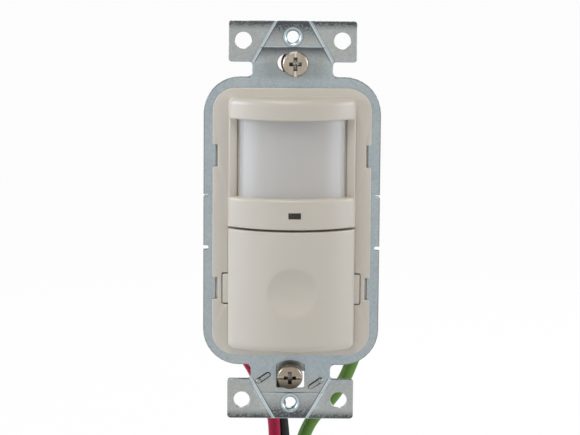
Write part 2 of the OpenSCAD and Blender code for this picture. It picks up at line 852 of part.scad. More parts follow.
// Head, shank and drive cuts of a box screw, head toward -Y, from the seat under its head
module box_screw() {
  head_r = box_head_d / 2;
  difference() {
    union() {
      rod_y(0, 0, box_head_d, -box_head_h * 0.45, 0);
      translate([0, -box_head_h * 0.45 + 0.01, 0]) rotate([90, 0, 0])
        cylinder(h = box_head_h * 0.55, r1 = head_r, r2 = head_r - 0.7);
      rod_y(0, 0, box_neck_d, -0.5, neck_len + 0.1);
      rod_y(0, 0, box_screw_d, neck_len, box_screw_len - 0.8);
      translate([0, box_screw_len, 0]) rotate([90, 0, 0])
        cylinder(h = 0.9, r1 = box_screw_d / 2 - 0.6, r2 = box_screw_d / 2);
    }
    block_y(0, 0, 1, box_head_d + 1, -box_head_h - cut, -box_head_h + 0.7);
    for (a = [0, 90]) rotate([0, a, 0]) block_y(0, 0, 0.9, 3.7, -box_head_h - cut, -box_head_h + 1.2);
  }
}

module top_box_screw() {
  color("tan") translate([top_screw_x, strap_front - 0.1, top_screw_z]) box_screw();
}

module top_screw_washer() {
  color("darkred") difference() {
    rod_y(top_screw_x, top_screw_z, 7.5, 0.1, 0.9);
    rod_y(top_screw_x, top_screw_z, box_neck_d + 0.1, -cut, 2);
  }
}

bottom_seat = [-0.1, strap_front - 1.1, bottom_screw_z];
module bottom_box_screw() {
  color("tan") translate(bottom_seat) rotate([bottom_lean, 0, 0]) rotate([0, 90, 0]) box_screw();
}

// Spring plate behind the bottom window, held by its two stakes
module ground_clip() {
  clip_t = 0.4;
  color("silver") {
    slab(clip_t, clip_t) difference() {
      translate([-0.2, -41.2]) round_rect(19, 9.2, 1);
      translate([0, -41.5]) circle(r = 3.35);
      translate([0, -44.4]) square([3.9, 4.4]);
      translate([0, -48]) square([7.2, 12.5], center = true);
    }
    slab(0.1, strap_t + 0.35) stakes(0);
  }
}

module ground_terminal() {
  color("silver") {
    slab(0.8, 0.8) difference() {
      union() {
        translate([ground_x, ground_z]) circle(r = 2.9);
        translate([ground_x - 1.4, ground_z]) square([2.8, 6]);
      }
      translate([ground_x, ground_z]) circle(d = rivet_d + 0.05);
    }
    translate([ground_x, 1.4, ground_z + 4.4]) cylinder(h = 4.6, d = 2.8);
  }
}

module ground_rivet() {
  color("silver") {
    rod_y(ground_x, ground_z, rivet_d, strap_front + 0.05, 0.9);
    rod_y(ground_x, ground_z, 4, 0.85, 1.7);
  }
}

// Routes of the leads from the collar to the bare end
red_route = [[-12.4, 13, collar_z], [-12.3, 13, -38], [-11.5, 13, -40], [-10.2, 13, -42.2],
  [-8.6, 13, -45.4], [-7, 13, -48.8], [-5.6, 13.1, -52], [-4.6, 13.2, -55.2], [-4.2, 13.3, -58.6],
  [-4.1, 13.4, -62.5], [-4.1, 13.5, -68], [-4.2, 13.8, -76], [-4.6, 14.2, -85], [-5.2, 14.6, -95],
  [-6, 15, -106], [-6.8, 15.4, -118], [-7.6, 15.6, -130], [-8.2, 15.6, -142], [-8.6, 15.4, -154],
  [-8.8, 15, -166], [-8.8, 14.6, -172.4]];
black_route = [[-5.6, 17, collar_z], [-5.6, 17, -37.2], [-5.2, 17, -39.8], [-4.6, 17, -43],
  [-3.9, 17, -46.4], [-3.3, 17, -49.8], [-2.7, 17, -53.2], [-2.2, 17, -56.8], [-1.8, 17, -60.6],
  [-1.5, 17.1, -65],
  [-1.3, 17.3, -71], [-1.3, 17.6, -79], [-1.2, 18, -88], [-0.9, 18.4, -98], [-0.6, 18.8, -109],
  [-0.4, 19.2, -121], [-0.4, 19.4, -133], [-0.6, 19.4, -145], [-1, 19.2, -157], [-1.4, 19, -169],
  [-1.5, 18.9, -173.4]];
green_route = [[17.8, 21, collar_z], [17.8, 21, -37.8], [17.25, 21, -40.4], [16.3, 21, -43],
  [15, 21, -46.1], [13.2, 21, -49.3], [11.2, 21, -52.1], [8.8, 21, -54.9], [6.4, 21, -57.7],
  [4.6, 21, -60.9], [3.4, 21, -64.4], [2.8, 21.1, -68.4], [2.6, 21.3, -74], [2.8, 21.6, -82],
  [3.4, 22, -91], [4.2, 22.4, -102], [5, 22.8, -114], [5.8, 23, -126], [6.4, 23, -138],
  [6.8, 22.8, -150], [7, 22.4, -162], [7, 22.2, -168.6]];

function unit(v) = v / norm(v);
function heading(p, i) = unit(p[min(i + 1, len(p) - 1)] - p[max(i - 1, 0)]);
function ring(p, i, r, n, first) = let (t = i == 0 ? first : heading(p, i),
  a = unit(cross(t, [0, 1, 0])), b = cross(t, a))
  [for (k = [0:n - 1]) p[i] + r * cos(360 * k / n) * a + r * sin(360 * k / n) * b];

// A round tube swept along a route, one ring at each of its points
module tube(p, d, first = [0, 0, -1]) {
  n = 8;
  m = len(p);
  points = [for (i = [0:m - 1]) each ring(p, i, d / 2, n, first)];
  sides = [for (i = [0:m - 2], k = [0:n - 1], h = [0, 1])
    let (a = i * n + k, b = i * n + (k + 1) % n)
    h == 0 ? [a, b, b + n] : [a, b + n, a + n]];
  ends = [[for (k = [0:n - 1]) n - 1 - k], [for (k = [0:n - 1]) (m - 1) * n + k]];
  polyhedron(points, concat(sides, ends));
}

module red_lead() { color("crimson") tube(red_route, lead_d); }
module black_lead() { color("black") tube(black_route, lead_d); }
module green_lead() { color("olivedrab") tube(green_route, ground_lead_d); }

// Stripped strands that run on from the end of each lead
module bare_ends() {
  color("peru") for (p = [red_route, black_route, green_route]) {
    last = p[len(p) - 1];
    way = heading(p, len(p) - 1);
    tube([last, last + bare_len / 2 * way, last + bare_len * way], bare_d, way);
  }
}

mounting_strap();
front_cover();
sensor_lens();
lens_retainer();
indicator_window();
push_button();
back_housing();
housing_screws();
control_board();
detector_can();
detector_filter();
detector_shroud();
indicator_lamp();
light_sensor();
controller_chip();
switch_body();
switch_plunger();
time_trimmer();
time_dial();
light_trimmer();
light_dial();
board_link();
power_board();
relay();
smoothing_capacitor();
film_capacitor();
transformer();
surge_disc();
fuse();
top_box_screw();
top_screw_washer();
bottom_box_screw();
ground_clip();
ground_terminal();
ground_rivet();
red_lead();
black_lead();
green_lead();
bare_ends();
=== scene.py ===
import json
import math

import bmesh
import bpy
from mathutils import Matrix, Vector


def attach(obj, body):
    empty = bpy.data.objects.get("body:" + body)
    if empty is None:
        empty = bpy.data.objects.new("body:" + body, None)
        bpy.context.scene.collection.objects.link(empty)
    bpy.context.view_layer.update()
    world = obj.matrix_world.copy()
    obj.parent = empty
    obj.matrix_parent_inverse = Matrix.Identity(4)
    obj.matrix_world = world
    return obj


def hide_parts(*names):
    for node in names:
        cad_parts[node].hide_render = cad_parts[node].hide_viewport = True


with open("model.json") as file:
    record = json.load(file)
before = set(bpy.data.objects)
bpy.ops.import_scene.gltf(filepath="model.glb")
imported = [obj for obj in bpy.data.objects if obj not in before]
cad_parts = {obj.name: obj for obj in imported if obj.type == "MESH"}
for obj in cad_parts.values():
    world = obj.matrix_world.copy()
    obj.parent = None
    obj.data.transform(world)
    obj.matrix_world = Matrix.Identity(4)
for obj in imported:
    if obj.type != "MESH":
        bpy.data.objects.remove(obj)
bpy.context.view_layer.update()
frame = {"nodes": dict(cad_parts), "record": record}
MM = 0.001
SIDES = (-1, 1)
CORNERS = [(sx, sz) for sx in SIDES for sz in SIDES]

# Sizes in millimetres: most are the part's own, and some follow the photograph more closely
STRAP_T = 1.5
FRONT = -STRAP_T
PLATE_T = 1.0
PLATE_FRONT = FRONT - PLATE_T
FACE_HALF = 16.5
FACE_TOP = 33.1
CROWN_R = 24.8
APEX = FRONT - 9.4
CROWN_Y = APEX + CROWN_R
WALL = 1.6
BAR_Z = 27.5
BAND_TOP = 7.1
BAND_LOW = -0.7
BUTTON_TOP = -1.3
BUTTON_MID = (BUTTON_TOP - FACE_TOP) / 2
DIMPLE_X = 0.4
DIMPLE_R = 6.4
DIMPLE_DEPTH = 1.12
WING_Z = -17.5
WING_HALF = 3.9
LENS_R = 22.0
LENS_HALF = 14.18
LENS_Y = APEX + 2.5 + LENS_R
LENS_T = 1.0
LIGHT_X, LIGHT_Z = 0.8, 3.0
NOTCH = (14.6, 20.4)
DECK_HALF, DECK_FRONT = 13.4, -4.1
FRAME_BACK = 1.0
NECK_HALF, EAR_HALF = 10.45, 16.6
EAR_ROOT, EAR_END = 41.9, 52.6
STRAP_HALF_X, STRAP_HALF_Z, STRAP_CORNER = 23.0, 38.0, 9.5
# Where a score meets the ear's end, and the way across it
SCORE_END, SCORE_ACROSS, SCORE_UP = 4.4, 0.8705, 0.4922
FOLD = 45.6
PLATE_HOLE_Z = 48.4
CASE_SCREW_X, CASE_SCREW_Z = 16.6, 30.2
TOP_SCREW = (0.7, FRONT - 0.1, 41.5)
BOTTOM_SCREW = (-0.1, FRONT - 1.1, -40.65)
LEAN = math.radians(10)
COLLAR_Z = -35.4

# Where each lead runs: out of its collar, in towards the others and down
RED_ROUTE = [
    (-12.4, 13, COLLAR_Z), (-12.3, 13, -38), (-11.5, 13, -40), (-10.2, 13, -42.2),
    (-8.6, 13, -45.4), (-7, 13, -48.8), (-5.6, 13.1, -52), (-4.6, 13.2, -55.2),
    (-4.2, 13.3, -58.6), (-4.1, 13.4, -62.5), (-4.1, 13.5, -68), (-4.2, 13.8, -76),
    (-4.6, 14.2, -85), (-5.2, 14.6, -95), (-6, 15, -106), (-6.8, 15.4, -118),
    (-7.6, 15.6, -130), (-8.2, 15.6, -142), (-8.6, 15.4, -154), (-8.8, 15, -166),
    (-8.8, 14.6, -172.4),
]
BLACK_ROUTE = [
    (-5.6, 17, COLLAR_Z), (-5.6, 17, -37.2), (-5.2, 17, -39.8), (-4.6, 17, -43),
    (-3.9, 17, -46.4), (-3.3, 17, -49.8), (-2.7, 17, -53.2), (-2.2, 17, -56.8),
    (-1.8, 17, -60.6), (-1.5, 17.1, -65), (-1.3, 17.3, -71), (-1.3, 17.6, -79), (-1.2, 18, -88),
    (-0.9, 18.4, -98), (-0.6, 18.8, -109), (-0.4, 19.2, -121), (-0.4, 19.4, -133),
    (-0.6, 19.4, -145), (-1, 19.2, -157), (-1.4, 19, -169), (-1.5, 18.9, -173.4),
]
GREEN_ROUTE = [
    (17.8, 21, COLLAR_Z), (17.8, 21, -37.8), (17.25, 21, -40.4), (16.3, 21, -43),
    (15, 21, -46.1), (13.2, 21, -49.3), (11.2, 21, -52.1), (8.8, 21, -54.9),
    (6.4, 21, -57.7), (4.6, 21, -60.9), (3.4, 21, -64.4), (2.8, 21.1, -68.4),
    (2.6, 21.3, -74), (2.8, 21.6, -82), (3.4, 22, -91), (4.2, 22.4, -102),
    (5, 22.8, -114), (5.8, 23, -126), (6.4, 23, -138), (6.8, 22.8, -150),
    (7, 22.4, -162), (7, 22.2, -168.6),
]
LEADS = (
    # name, route, diameter, finish, node
    ("crimson_lead", RED_ROUTE, 3.3, "red_insulation", "red_lead"),
    ("black_lead_wire", BLACK_ROUTE, 3.3, "black_insulation", "black_lead"),
    ("green_lead_wire", GREEN_ROUTE, 3.6, "green_insulation", "green_lead"),
)


# Finishes
def operator(operation):
    """A Python operator that adds one Math node."""
    return lambda value, other: value.nodes.maths(operation, value, other)


class Value:
    """A socket among nodes, on which Python's operators add Math nodes."""

    __add__ = __radd__ = operator("ADD")
    __mul__ = __rmul__ = operator("MULTIPLY")
    __sub__ = operator("SUBTRACT")
    __truediv__ = operator("DIVIDE")
    __gt__ = operator("GREATER_THAN")
    __lt__ = operator("LESS_THAN")

    def __init__(self, nodes, socket):
        self.nodes = nodes
        self.socket = socket

    def __rsub__(self, other):
        return self.nodes.maths("SUBTRACT", other, self)

    def __abs__(self):
        return self.nodes.maths("ABSOLUTE", self)

    def clamped(self):
        return self.nodes.maths("MAXIMUM", self.nodes.maths("MINIMUM", self, 1.0), 0.0)


class Nodes:
    """The nodes of a finish or of the world, with one method that adds any of them."""

    MIX_INPUTS, MIX_RESULT = (0, 6, 7), 2

    def __init__(self, tree):
        self.tree = tree

    def add(self, kind, settings=None, *values, out=0, **named):
        node = self.tree.nodes.new(kind)
        for key, value in (settings or {}).items():
            if key == "stops":
                self.set_stops(node.color_ramp, value)
            else:
                setattr(node, key, value)
        for index, value in enumerate(values):
            self.join(value, node.inputs[index])
        for key, value in named.items():
            self.join(value, node.inputs[key.replace("_", " ")])
        return Value(self, node.outputs[out]) if node.outputs else None

    def set_stops(self, ramp, stops):
        while len(ramp.elements) < len(stops):
            ramp.elements.new(0.5)
        for element, (position, level) in zip(ramp.elements, stops):
            element.position = position
            element.color = (level, level, level, 1.0)

    def join(self, value, socket):
        if isinstance(value, Value):
            self.tree.links.new(value.socket, socket)
        elif value is not None:
            if socket.type == "RGBA" and len(value) == 3:
                value = (*value, 1.0)
            socket.default_value = value

    def maths(self, operation, *values):
        return self.add("ShaderNodeMath", {"operation": operation}, *values)

    def tint(self, factor, first, second):
        mix = self.add("ShaderNodeMix", {"data_type": "RGBA"}, out=self.MIX_RESULT)
        for index, value in zip(self.MIX_INPUTS, (factor, first, second)):
            self.join(value, mix.socket.node.inputs[index])
        return mix

    def layered(self, tone, *layers):
        """A tone under layers of (share, colour), the last on top."""
        for share, color in layers:
            tone = self.tint(share, tone, color)
        return tone

    def shown_rays(self):
        """One for a ray from the camera or by way of gloss or glass, else nothing."""
        camera, glossy, through = (self.add("ShaderNodeLightPath", out="Is %s Ray" % kind)
                                   for kind in ("Camera", "Glossy", "Transmission"))
        return (camera + glossy + through).clamped()


class Finish(Nodes):
    """A material of nodes round one Principled shader."""

    def __init__(self, name):
        self.material = bpy.data.materials.new(name)
        self.material.use_nodes = True
        super().__init__(self.material.node_tree)
        self.shader = self.tree.nodes["Principled BSDF"]
        self.place = self.add("ShaderNodeTexCoord", out="Object")

    def set(self, **named):
        for key, value in named.items():
            self.join(value, self.shader.inputs[key.replace("_", " ")])
        return self

    def stretched(self, x, y, z):
        return self.add("ShaderNodeVectorMath", {"operation": "MULTIPLY"}, self.place, (x, y, z))

    def noise(self, scale, detail=3.0, roughness=0.5, vector=None):
        return self.add("ShaderNodeTexNoise", None, vector or self.place,
                        Scale=scale, Detail=detail, Roughness=roughness)

    def axis(self, name):
        return self.add("ShaderNodeSeparateXYZ", None, self.place, out=name)

    def near(self, value, centre, half, soft):
        """One within half of the centre, falling to nothing over the soft width."""
        return 1.0 - ((abs(value - centre) - half) / soft).clamped()

    def distance(self, a, b):
        return self.maths("SQRT", a * a + b * b)

    def bumped(self, height, distance):
        return self.set(Normal=self.add("ShaderNodeBump", None, Height=height, Strength=1.0,
                                        Distance=distance))

    def on(self, piece):
        piece.data.materials.clear()
        piece.data.materials.append(self.material)
        return piece


def shades(color, share):
    """A darker and a lighter shade of a colour."""
    return (tuple(c * (1 - share) for c in color),
            tuple(min(1.0, c * (1 + share)) for c in color))


def plastic(name, color, rough, mottle=0.03, grain=0.00001):
    """A moulded plastic with a faint mottle and a fine moulded grain."""
    f = Finish(name)
    cloud = f.noise(90, 2)
    fine = f.noise(2600, 2)
    f.set(Base_Color=f.tint(cloud, *shades(color, mottle)),
          Roughness=rough + (fine - 0.5) * 0.12, IOR=1.46)
    return f.bumped(fine, grain)


def metal(name, color, rough, brushed=(400, 400, 4000)):
    """A plated metal with fine grain drawn out along one way."""
    f = Finish(name)
    streak = f.noise(1.0, 4, vector=f.stretched(*brushed))
    spots = f.noise(1300, 2)
    f.set(Base_Color=f.tint((spots * 0.6 + streak * 0.4 - 0.25) * 2.0, *shades(color, 0.12)),
          Roughness=rough + (streak - 0.5) * 0.25, Metallic=1.0)
    return f.bumped(streak, 0.00001)


def zinc():
    """Zinc plating of the strap: bluish frame, greyer ears, painted highlights and shade at the
    scores and fold, and speckled ear ends darkened by painted shade.
    """
    f = Finish("zinc_plating")
    cells = f.add("ShaderNodeSeparateColor", None,
                  f.add("ShaderNodeTexVoronoi", None, f.place, Scale=2600, out="Color"))
    patch, fine, warm = f.noise(55, 5, 0.65), f.noise(3000, 3), f.noise(28, 2, 0.5)
    across, up = abs(f.axis("X")) / MM, f.axis("Z") / MM
    reach = abs(up)
    outside = (across - NECK_HALF) * SCORE_ACROSS + (reach - EAR_ROOT) * SCORE_UP
    on_ear = reach > 41.7
    between = (outside < -0.35) * on_ear
    # Pale blue of the painted highlights
    pale = (0.46, 0.55, 0.585)

    ear_face = ((reach - 40.5) / 3.0).clamped()
    # Painted shade on the top neck
    top_neck_shade = f.near(up, 40.0, 1.4, 1.8) * ((11.0 - across) / 5.0).clamped()
    # Painted shade in the top ear's fall before its fold
    fall_in = ((reach - 42.0) / 3.4).clamped() * (reach < FOLD - 0.08) * between
    top_valley_shade = fall_in * (0.4 + fall_in * 0.6) * (up > 0) * (0.75 + fine * 0.7)
    # Towards each ear's end: speckled plating and painted shade
    start = 50.0 - between * (reach > FOLD) * 3.2
    toward_end = ((reach - start) / (52.5 - start)).clamped()
    end_speckle_and_shade = toward_end * (0.4 + toward_end * 0.6) * (fine * 2.6 + cells * 1.2 + patch * 0.6 - 0.75)
    # Distance from each wall-plate hole, for its painted shade and highlight
    ring = f.distance(across, reach - PLATE_HOLE_Z)
    # Distance round the frame's corners, for painted shade along its edge
    rim = f.distance(f.maths("MAXIMUM", across - (STRAP_HALF_X - STRAP_CORNER), 0.0),
                     f.maths("MAXIMUM", reach - (STRAP_HALF_Z - STRAP_CORNER), 0.0))
    beside = f.maths("MAXIMUM", across > 10.9, reach < 30.0)
    # Sideways faces: the cut sides, darkened as sheared steel with painted shade
    facing = abs(f.add("ShaderNodeSeparateXYZ", None,
                       f.add("ShaderNodeTexCoord", out="Normal"), out="Y"))
    cut_edge = ((0.72 - facing) * 3.0).clamped() * (reach < 45.0)

    tone = f.layered(
        f.tint((patch - 0.3) * 2.2, (0.325, 0.382, 0.41), (0.415, 0.472, 0.495)),
        # Clouds, the ears, pale and dark crystals, painted shade on the top neck and in the top
        # ear's fall, and speckled ends darkened by painted shade
        ((warm - 0.45) * 2.0, (0.40, 0.42, 0.40)),
        (ear_face * (0.5 + patch * 0.5), (0.38, 0.387, 0.36)),
        ((cells - 0.6) * 0.6, (0.58, 0.60, 0.60)),
        ((0.35 - cells) * 0.7, (0.22, 0.245, 0.265)),
        (top_neck_shade * 0.5, (0.22, 0.225, 0.205)),
        (top_valley_shade.clamped() * 0.9, (0.075, 0.088, 0.10)),
        (end_speckle_and_shade.clamped() * 0.92, (0.05, 0.056, 0.066)),
        # A painted highlight on the fold, then painted shade lines beside and outside each score,
        # and painted highlights along it
        (f.near(reach, FOLD + 0.14, 0.17, 0.14) * between * 0.75, pale),
        (f.near(outside, -0.56, 0.1, 0.14) * on_ear * 0.65, (0.12, 0.135, 0.15)),
        (f.near(outside, 0.5, 0.06, 0.1) * on_ear * 0.35, (0.16, 0.175, 0.19)),
        (f.near(outside, 0.0, 0.26, 0.16) * on_ear * 0.7, pale),
        (f.near(outside, -0.27, 0.06, 0.09) * on_ear * 0.7, (0.70, 0.77, 0.79)),
        # Painted shade at the edge and a painted highlight on the roll of each wall-plate hole,
        # and a painted highlight on the ear's outer edge
        (f.near(ring, 2.62, 0.08, 0.16) * 0.5, (0.15, 0.165, 0.18)),
        (f.near(ring, 2.0, 0.42, 0.12) * 0.8, pale),
        ((reach > 52.42) * 0.5, (0.62, 0.64, 0.62)),
        # Painted shade along the frame's own edge, and the cut sides of the sheet darker: sheared
        # steel and painted shade
        (f.near(rim, STRAP_CORNER, 0.12, 0.22) * beside * (reach < STRAP_HALF_Z + 0.2) * 0.6,
         (0.13, 0.13, 0.125)),
        (cut_edge * 0.8, (0.10, 0.10, 0.095)),
    )
    f.set(Base_Color=tone, Metallic=0.9,
          Roughness=0.34 + cells * 0.08 + (fine - 0.5) * 0.12 + cut_edge * 0.15)
    return f.bumped(cells * 0.5 + fine, 0.000006)


def nickel_with_painted_shade():
    """Nickel plating of a box screw, with painted shade in its recesses and a painted highlight at
    their edges: the bottom one is browner, with painted shade on its lower half.
    """
    f = Finish("warm_nickel")
    spots = f.noise(1300, 3)
    patch = f.noise(420, 3)
    hollow = 1.0 - f.add("ShaderNodeAmbientOcclusion", None, None, 0.0016, out="AO")
    # Painted shade in the recesses, where little light reaches
    recess_shade = ((hollow - 0.46) * 4.0 + (spots - 0.5) * 2.0).clamped()
    up = f.axis("Z") / MM
    # Painted shade on the bottom screw's lower half
    lower_shade = ((-40.9 - up) / 2.4).clamped()
    tone = f.layered(
        f.tint((spots * 0.6 + patch * 0.4 - 0.25) * 2.0, (0.34, 0.295, 0.23), (0.48, 0.43, 0.355)),
        # A painted highlight at the edges of the recesses
        (f.near(hollow, 0.30, 0.08, 0.06), (0.80, 0.76, 0.66)),
        ((up < -30.0) * 0.55, (0.26, 0.205, 0.15)),
        # Painted shade on the lower half, then painted shade in the recesses
        (lower_shade * 0.88, (0.05, 0.04, 0.03)),
        (recess_shade, (0.05, 0.042, 0.034)),
    )
    f.set(Base_Color=tone, Metallic=0.9, Roughness=0.3 + spots * 0.1)
    return f.bumped(spots, 0.000006)


def almond():
    """Smooth light almond moulding with a faint satin grain, a little paler on the plate."""
    f = Finish("almond_moulding")
    cloud = f.noise(45, 2)
    fine = f.noise(2400, 2)
    crowned = f.tint(cloud, (0.520, 0.478, 0.408), (0.550, 0.507, 0.437))
    plate = f.tint(cloud, (0.556, 0.514, 0.445), (0.584, 0.541, 0.472))
    level = ((f.axis("Y") / MM + 4.3) * 2.0).clamped()
    f.set(Base_Color=f.tint(level, crowned, plate),
          Roughness=0.33 + (fine - 0.5) * 0.1, Specular_IOR_Level=0.5, IOR=1.47)
    return f.bumped(fine, 0.000004)


def milky():
    """Milky lens sheet, paler near its sides with painted light, with a painted shaded line and a
    painted bright edge at each.
    """
    f = Finish("milky_lens_sheet")
    x = abs(f.axis("X")) / MM
    cloud = f.noise(70, 2)
    fine = f.noise(1500, 2)
    # Painted light towards the sides, painted shade near each edge, and a painted bright edge
    # against the shade beside the strips
    near = ((x - 7.6) / 3.6).clamped()
    past = ((x - 12.3) / 0.7).clamped()
    bright_edge_paint = ((x - 13.45) / 0.3).clamped()
    tone = f.layered(
        f.tint(cloud, (0.475, 0.455, 0.425), (0.50, 0.48, 0.45)),
        (near * near * (3.0 - 2.0 * near), (0.53, 0.518, 0.495)),
        (past * 0.7, (0.36, 0.355, 0.33)),
        (bright_edge_paint * 0.8, (0.74, 0.67, 0.57)),
    )
    f.set(Base_Color=tone, Roughness=0.3 + cloud * 0.08, IOR=1.5, Subsurface_Weight=0.25,
          Subsurface_Radius=(0.004, 0.004, 0.0035), Subsurface_Scale=0.5)
    return f.bumped(fine, 0.000003)


def insulation(name, dark, light, rough):
    """Smooth extruded wire insulation with faint lines along the lead."""
    f = Finish(name)
    lines = f.noise(1.0, 3, vector=f.stretched(1500, 1500, 60))
    cloud = f.noise(140, 2)
    f.set(Base_Color=f.tint(lines * 0.5 + cloud * 0.5, dark, light),
          Roughness=rough + (lines - 0.5) * 0.2, IOR=1.5, Specular_IOR_Level=0.2)
    return f.bumped(lines, 0.00001)


def circuit(name, mask, track):
    """A board: solder mask over a grid of tracks."""
    f = Finish(name)
    weave = f.noise(900, 2)
    way = f.add("ShaderNodeTexBrick", {"offset": 0.4}, f.stretched(1, 1, 1), Scale=260,
                Mortar_Size=0.04, out="Fac")
    f.set(Base_Color=f.tint(way, f.tint(weave, mask, tuple(c * 1.2 for c in mask)), track),
          Roughness=0.3 + weave * 0.2)
    return f.bumped(way, 0.00002)


def smoked():
    """Smoked plastic of the light window, nearly black."""
    f = Finish("smoked_window_plastic")
    cloud = f.noise(600, 2)
    f.set(Base_Color=f.tint(cloud, (0.018, 0.016, 0.013), (0.030, 0.027, 0.022)),
          Roughness=0.22 + cloud * 0.1, IOR=1.4)
    return f.bumped(cloud, 0.000003)


FINISHES = {
    "zinc_steel": zinc(),
    "almond_plastic": almond(),
    "milky_lens": milky(),
    "white_plastic": plastic("white_moulding", (0.72, 0.72, 0.70), 0.4),
    "smoked_window": smoked(),
    "ivory_housing": plastic("ivory_housing_moulding", (0.66, 0.63, 0.55), 0.42, grain=0.000025),
    "screw_steel": nickel_with_painted_shade(),
    "board_green": circuit("green_board", (0.02, 0.13, 0.06), (0.05, 0.22, 0.10)),
    "board_tan": circuit("tan_board", (0.33, 0.22, 0.10), (0.42, 0.30, 0.16)),
    "can_metal": metal("drawn_can", (0.75, 0.74, 0.70), 0.28),
    "dark_filter": plastic("dark_filter_plastic", (0.025, 0.02, 0.025), 0.12),
    "black_plastic": plastic("black_moulding", (0.018, 0.018, 0.018), 0.42, 0.1),
    "clear_lamp": plastic("clear_epoxy", (0.68, 0.74, 0.60), 0.15),
    "blue_plastic": plastic("blue_moulding", (0.03, 0.09, 0.32), 0.3, 0.08),
    "blue_sleeve": plastic("dark_blue_sleeve", (0.02, 0.025, 0.12), 0.25, 0.1),
    "yellow_plastic": plastic("yellow_case", (0.62, 0.36, 0.03), 0.3, 0.06),
    "dark_ferrite": plastic("ferrite_and_tape", (0.05, 0.05, 0.055), 0.55, 0.15),
    "white_ceramic": plastic("glazed_ceramic", (0.72, 0.69, 0.62), 0.2),
    "red_fibre": plastic("red_fibre_washer", (0.20, 0.035, 0.02), 0.6, 0.2),
    "clip_steel": metal("plain_spring_steel", (0.33, 0.34, 0.335), 0.34),
    "red_insulation": insulation("crimson_insulation", (0.27, 0.003, 0.030),
                                 (0.36, 0.006, 0.05), 0.3),
    "black_insulation": insulation("black_lead_insulation", (0.007, 0.007, 0.007),
                                   (0.013, 0.013, 0.013), 0.32),
    "green_insulation": insulation("green_lead_insulation", (0.085, 0.19, 0.028),
                                   (0.13, 0.27, 0.05), 0.3),
    "copper": metal("bare_copper", (0.80, 0.42, 0.25), 0.3, (900, 900, 300)),
}


def dressed(piece, slot, body="switch_frame", replaces=()):
    """Gives a piece its finish, its body and the CAD nodes it stands for."""
    FINISHES[slot].on(piece)
    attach(piece, body)
    if replaces:
        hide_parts(*replaces)
    return piece


def linked(name, data):
    """A new object of the data, in the scene."""
    piece = bpy.data.objects.new(name, data)
    bpy.context.scene.collection.objects.link(piece)
    return piece


# Camera, in metres and degrees
CAMERA_PLACE = (-0.0004, -0.6615, 0.105)
CAMERA_DOWN, CAMERA_ROLL = 8.935, 0.45
CAMERA_SENSOR, CAMERA_LENS, CAMERA_REACH = 36, 158.9, 60


def add_camera():
    data = bpy.data.cameras.new("photo_camera")
    data.sensor_width = CAMERA_SENSOR
    data.lens = CAMERA_LENS
    data.clip_end = CAMERA_REACH
    camera = linked("photo_camera", data)
    turn = (Matrix.Rotation(math.radians(90 - CAMERA_DOWN), 4, "X")
            @ Matrix.Rotation(math.radians(CAMERA_ROLL), 4, "Z"))
    camera.matrix_world = Matrix.Translation(CAMERA_PLACE) @ turn
    bpy.context.scene.camera = camera


add_camera()


# Leads
def lead(name, route, diameter, slot, node, strands):
    """A lead as a smooth curve through its route, up to where the bare strands begin."""
    curve = bpy.data.curves.new(name, "CURVE")
    curve.dimensions = "3D"
    curve.bevel_depth = diameter / 2 * MM
    curve.bevel_resolution = 7
    curve.resolution_u = 5
    curve.use_fill_caps = True
    spline = curve.splines.new("BEZIER")
    spline.bezier_points.add(len(route) - 1)
    for point, place in zip(spline.bezier_points, route):
        point.co = Vector(place) * MM
        point.handle_left_type = point.handle_right_type = "AUTO"
    piece = dressed(linked(name, curve), slot, replaces=(node,))
    [c * MM for c in route[0]]
    diameter * MM


def ray(side, other, a):
    """The direction at an angle from side towards other."""
    return side * math.cos(a) + other * math.sin(a)


def bare_strands(length=10.0, diameter=1.8):
    """Seven copper strands at the end of each lead: six twisted round one."""
    bm = bmesh.new()
    strand_r = diameter / 6
    steps, sides, turns, tucked_in = 28, 8, 0.9, 0.4
    for _, route, *_ in LEADS:
        last, before = Vector(route[-1]), Vector(route[-3])
        way = (last - before).normalized()
        side = way.cross(Vector((0, 1, 0))).normalized()
        other = way.cross(side)
        for strand in range(7):
            reach = 0.0 if strand == 6 else diameter / 2 - strand_r
            rings = []
            for i in range(steps + 1):
                t = i / steps
                centre = (last + way * (length * t - tucked_in * (1 - t))
                          + ray(side, other, math.tau * (strand / 6 + t * turns)) * reach)
                rings.append([centre + ray(side, other, math.tau * k / sides) * strand_r
                              for k in range(sides)])
            skinned(bm, rings)
    return finished(bm, "bare_copper_strands", 40)


# Mesh tools
def smoothed(mesh, angle):
    """Shades a mesh smooth, up to an angle."""
    for face in mesh.polygons:
        face.use_smooth = True
    mesh.set_sharp_from_angle(angle=math.radians(angle))


def finished(bm, name, angle=30):
    """Makes an object of a bmesh, smooth up to an angle."""
    bmesh.ops.recalc_face_normals(bm, faces=bm.faces)
    mesh = bpy.data.meshes.new(name)
    bm.to_mesh(mesh)
    bm.free()
    smoothed(mesh, angle)
    return linked(name, mesh)


def banded(bm, a, b):
    """Joins two rings of vertices by a band of faces."""
    for k in range(len(a)):
        bm.faces.new((a[k - 1], a[k], b[k], b[k - 1]))


def skinned(bm, rings):
    """Adds to a bmesh the skin through rings of points, closed at both ends."""
    rings = [[bm.verts.new(Vector(point) * MM) for point in ring] for ring in rings]
    for a, b in zip(rings, rings[1:]):
        banded(bm, a, b)
    bm.faces.new(rings[0])
    bm.faces.new(rings[-1])
    return bm


def final_mesh(piece):
    """The mesh of a piece as its modifiers leave it."""
    graph = bpy.context.evaluated_depsgraph_get()
    graph.update()
    return bpy.data.meshes.new_from_object(piece.evaluated_get(graph))


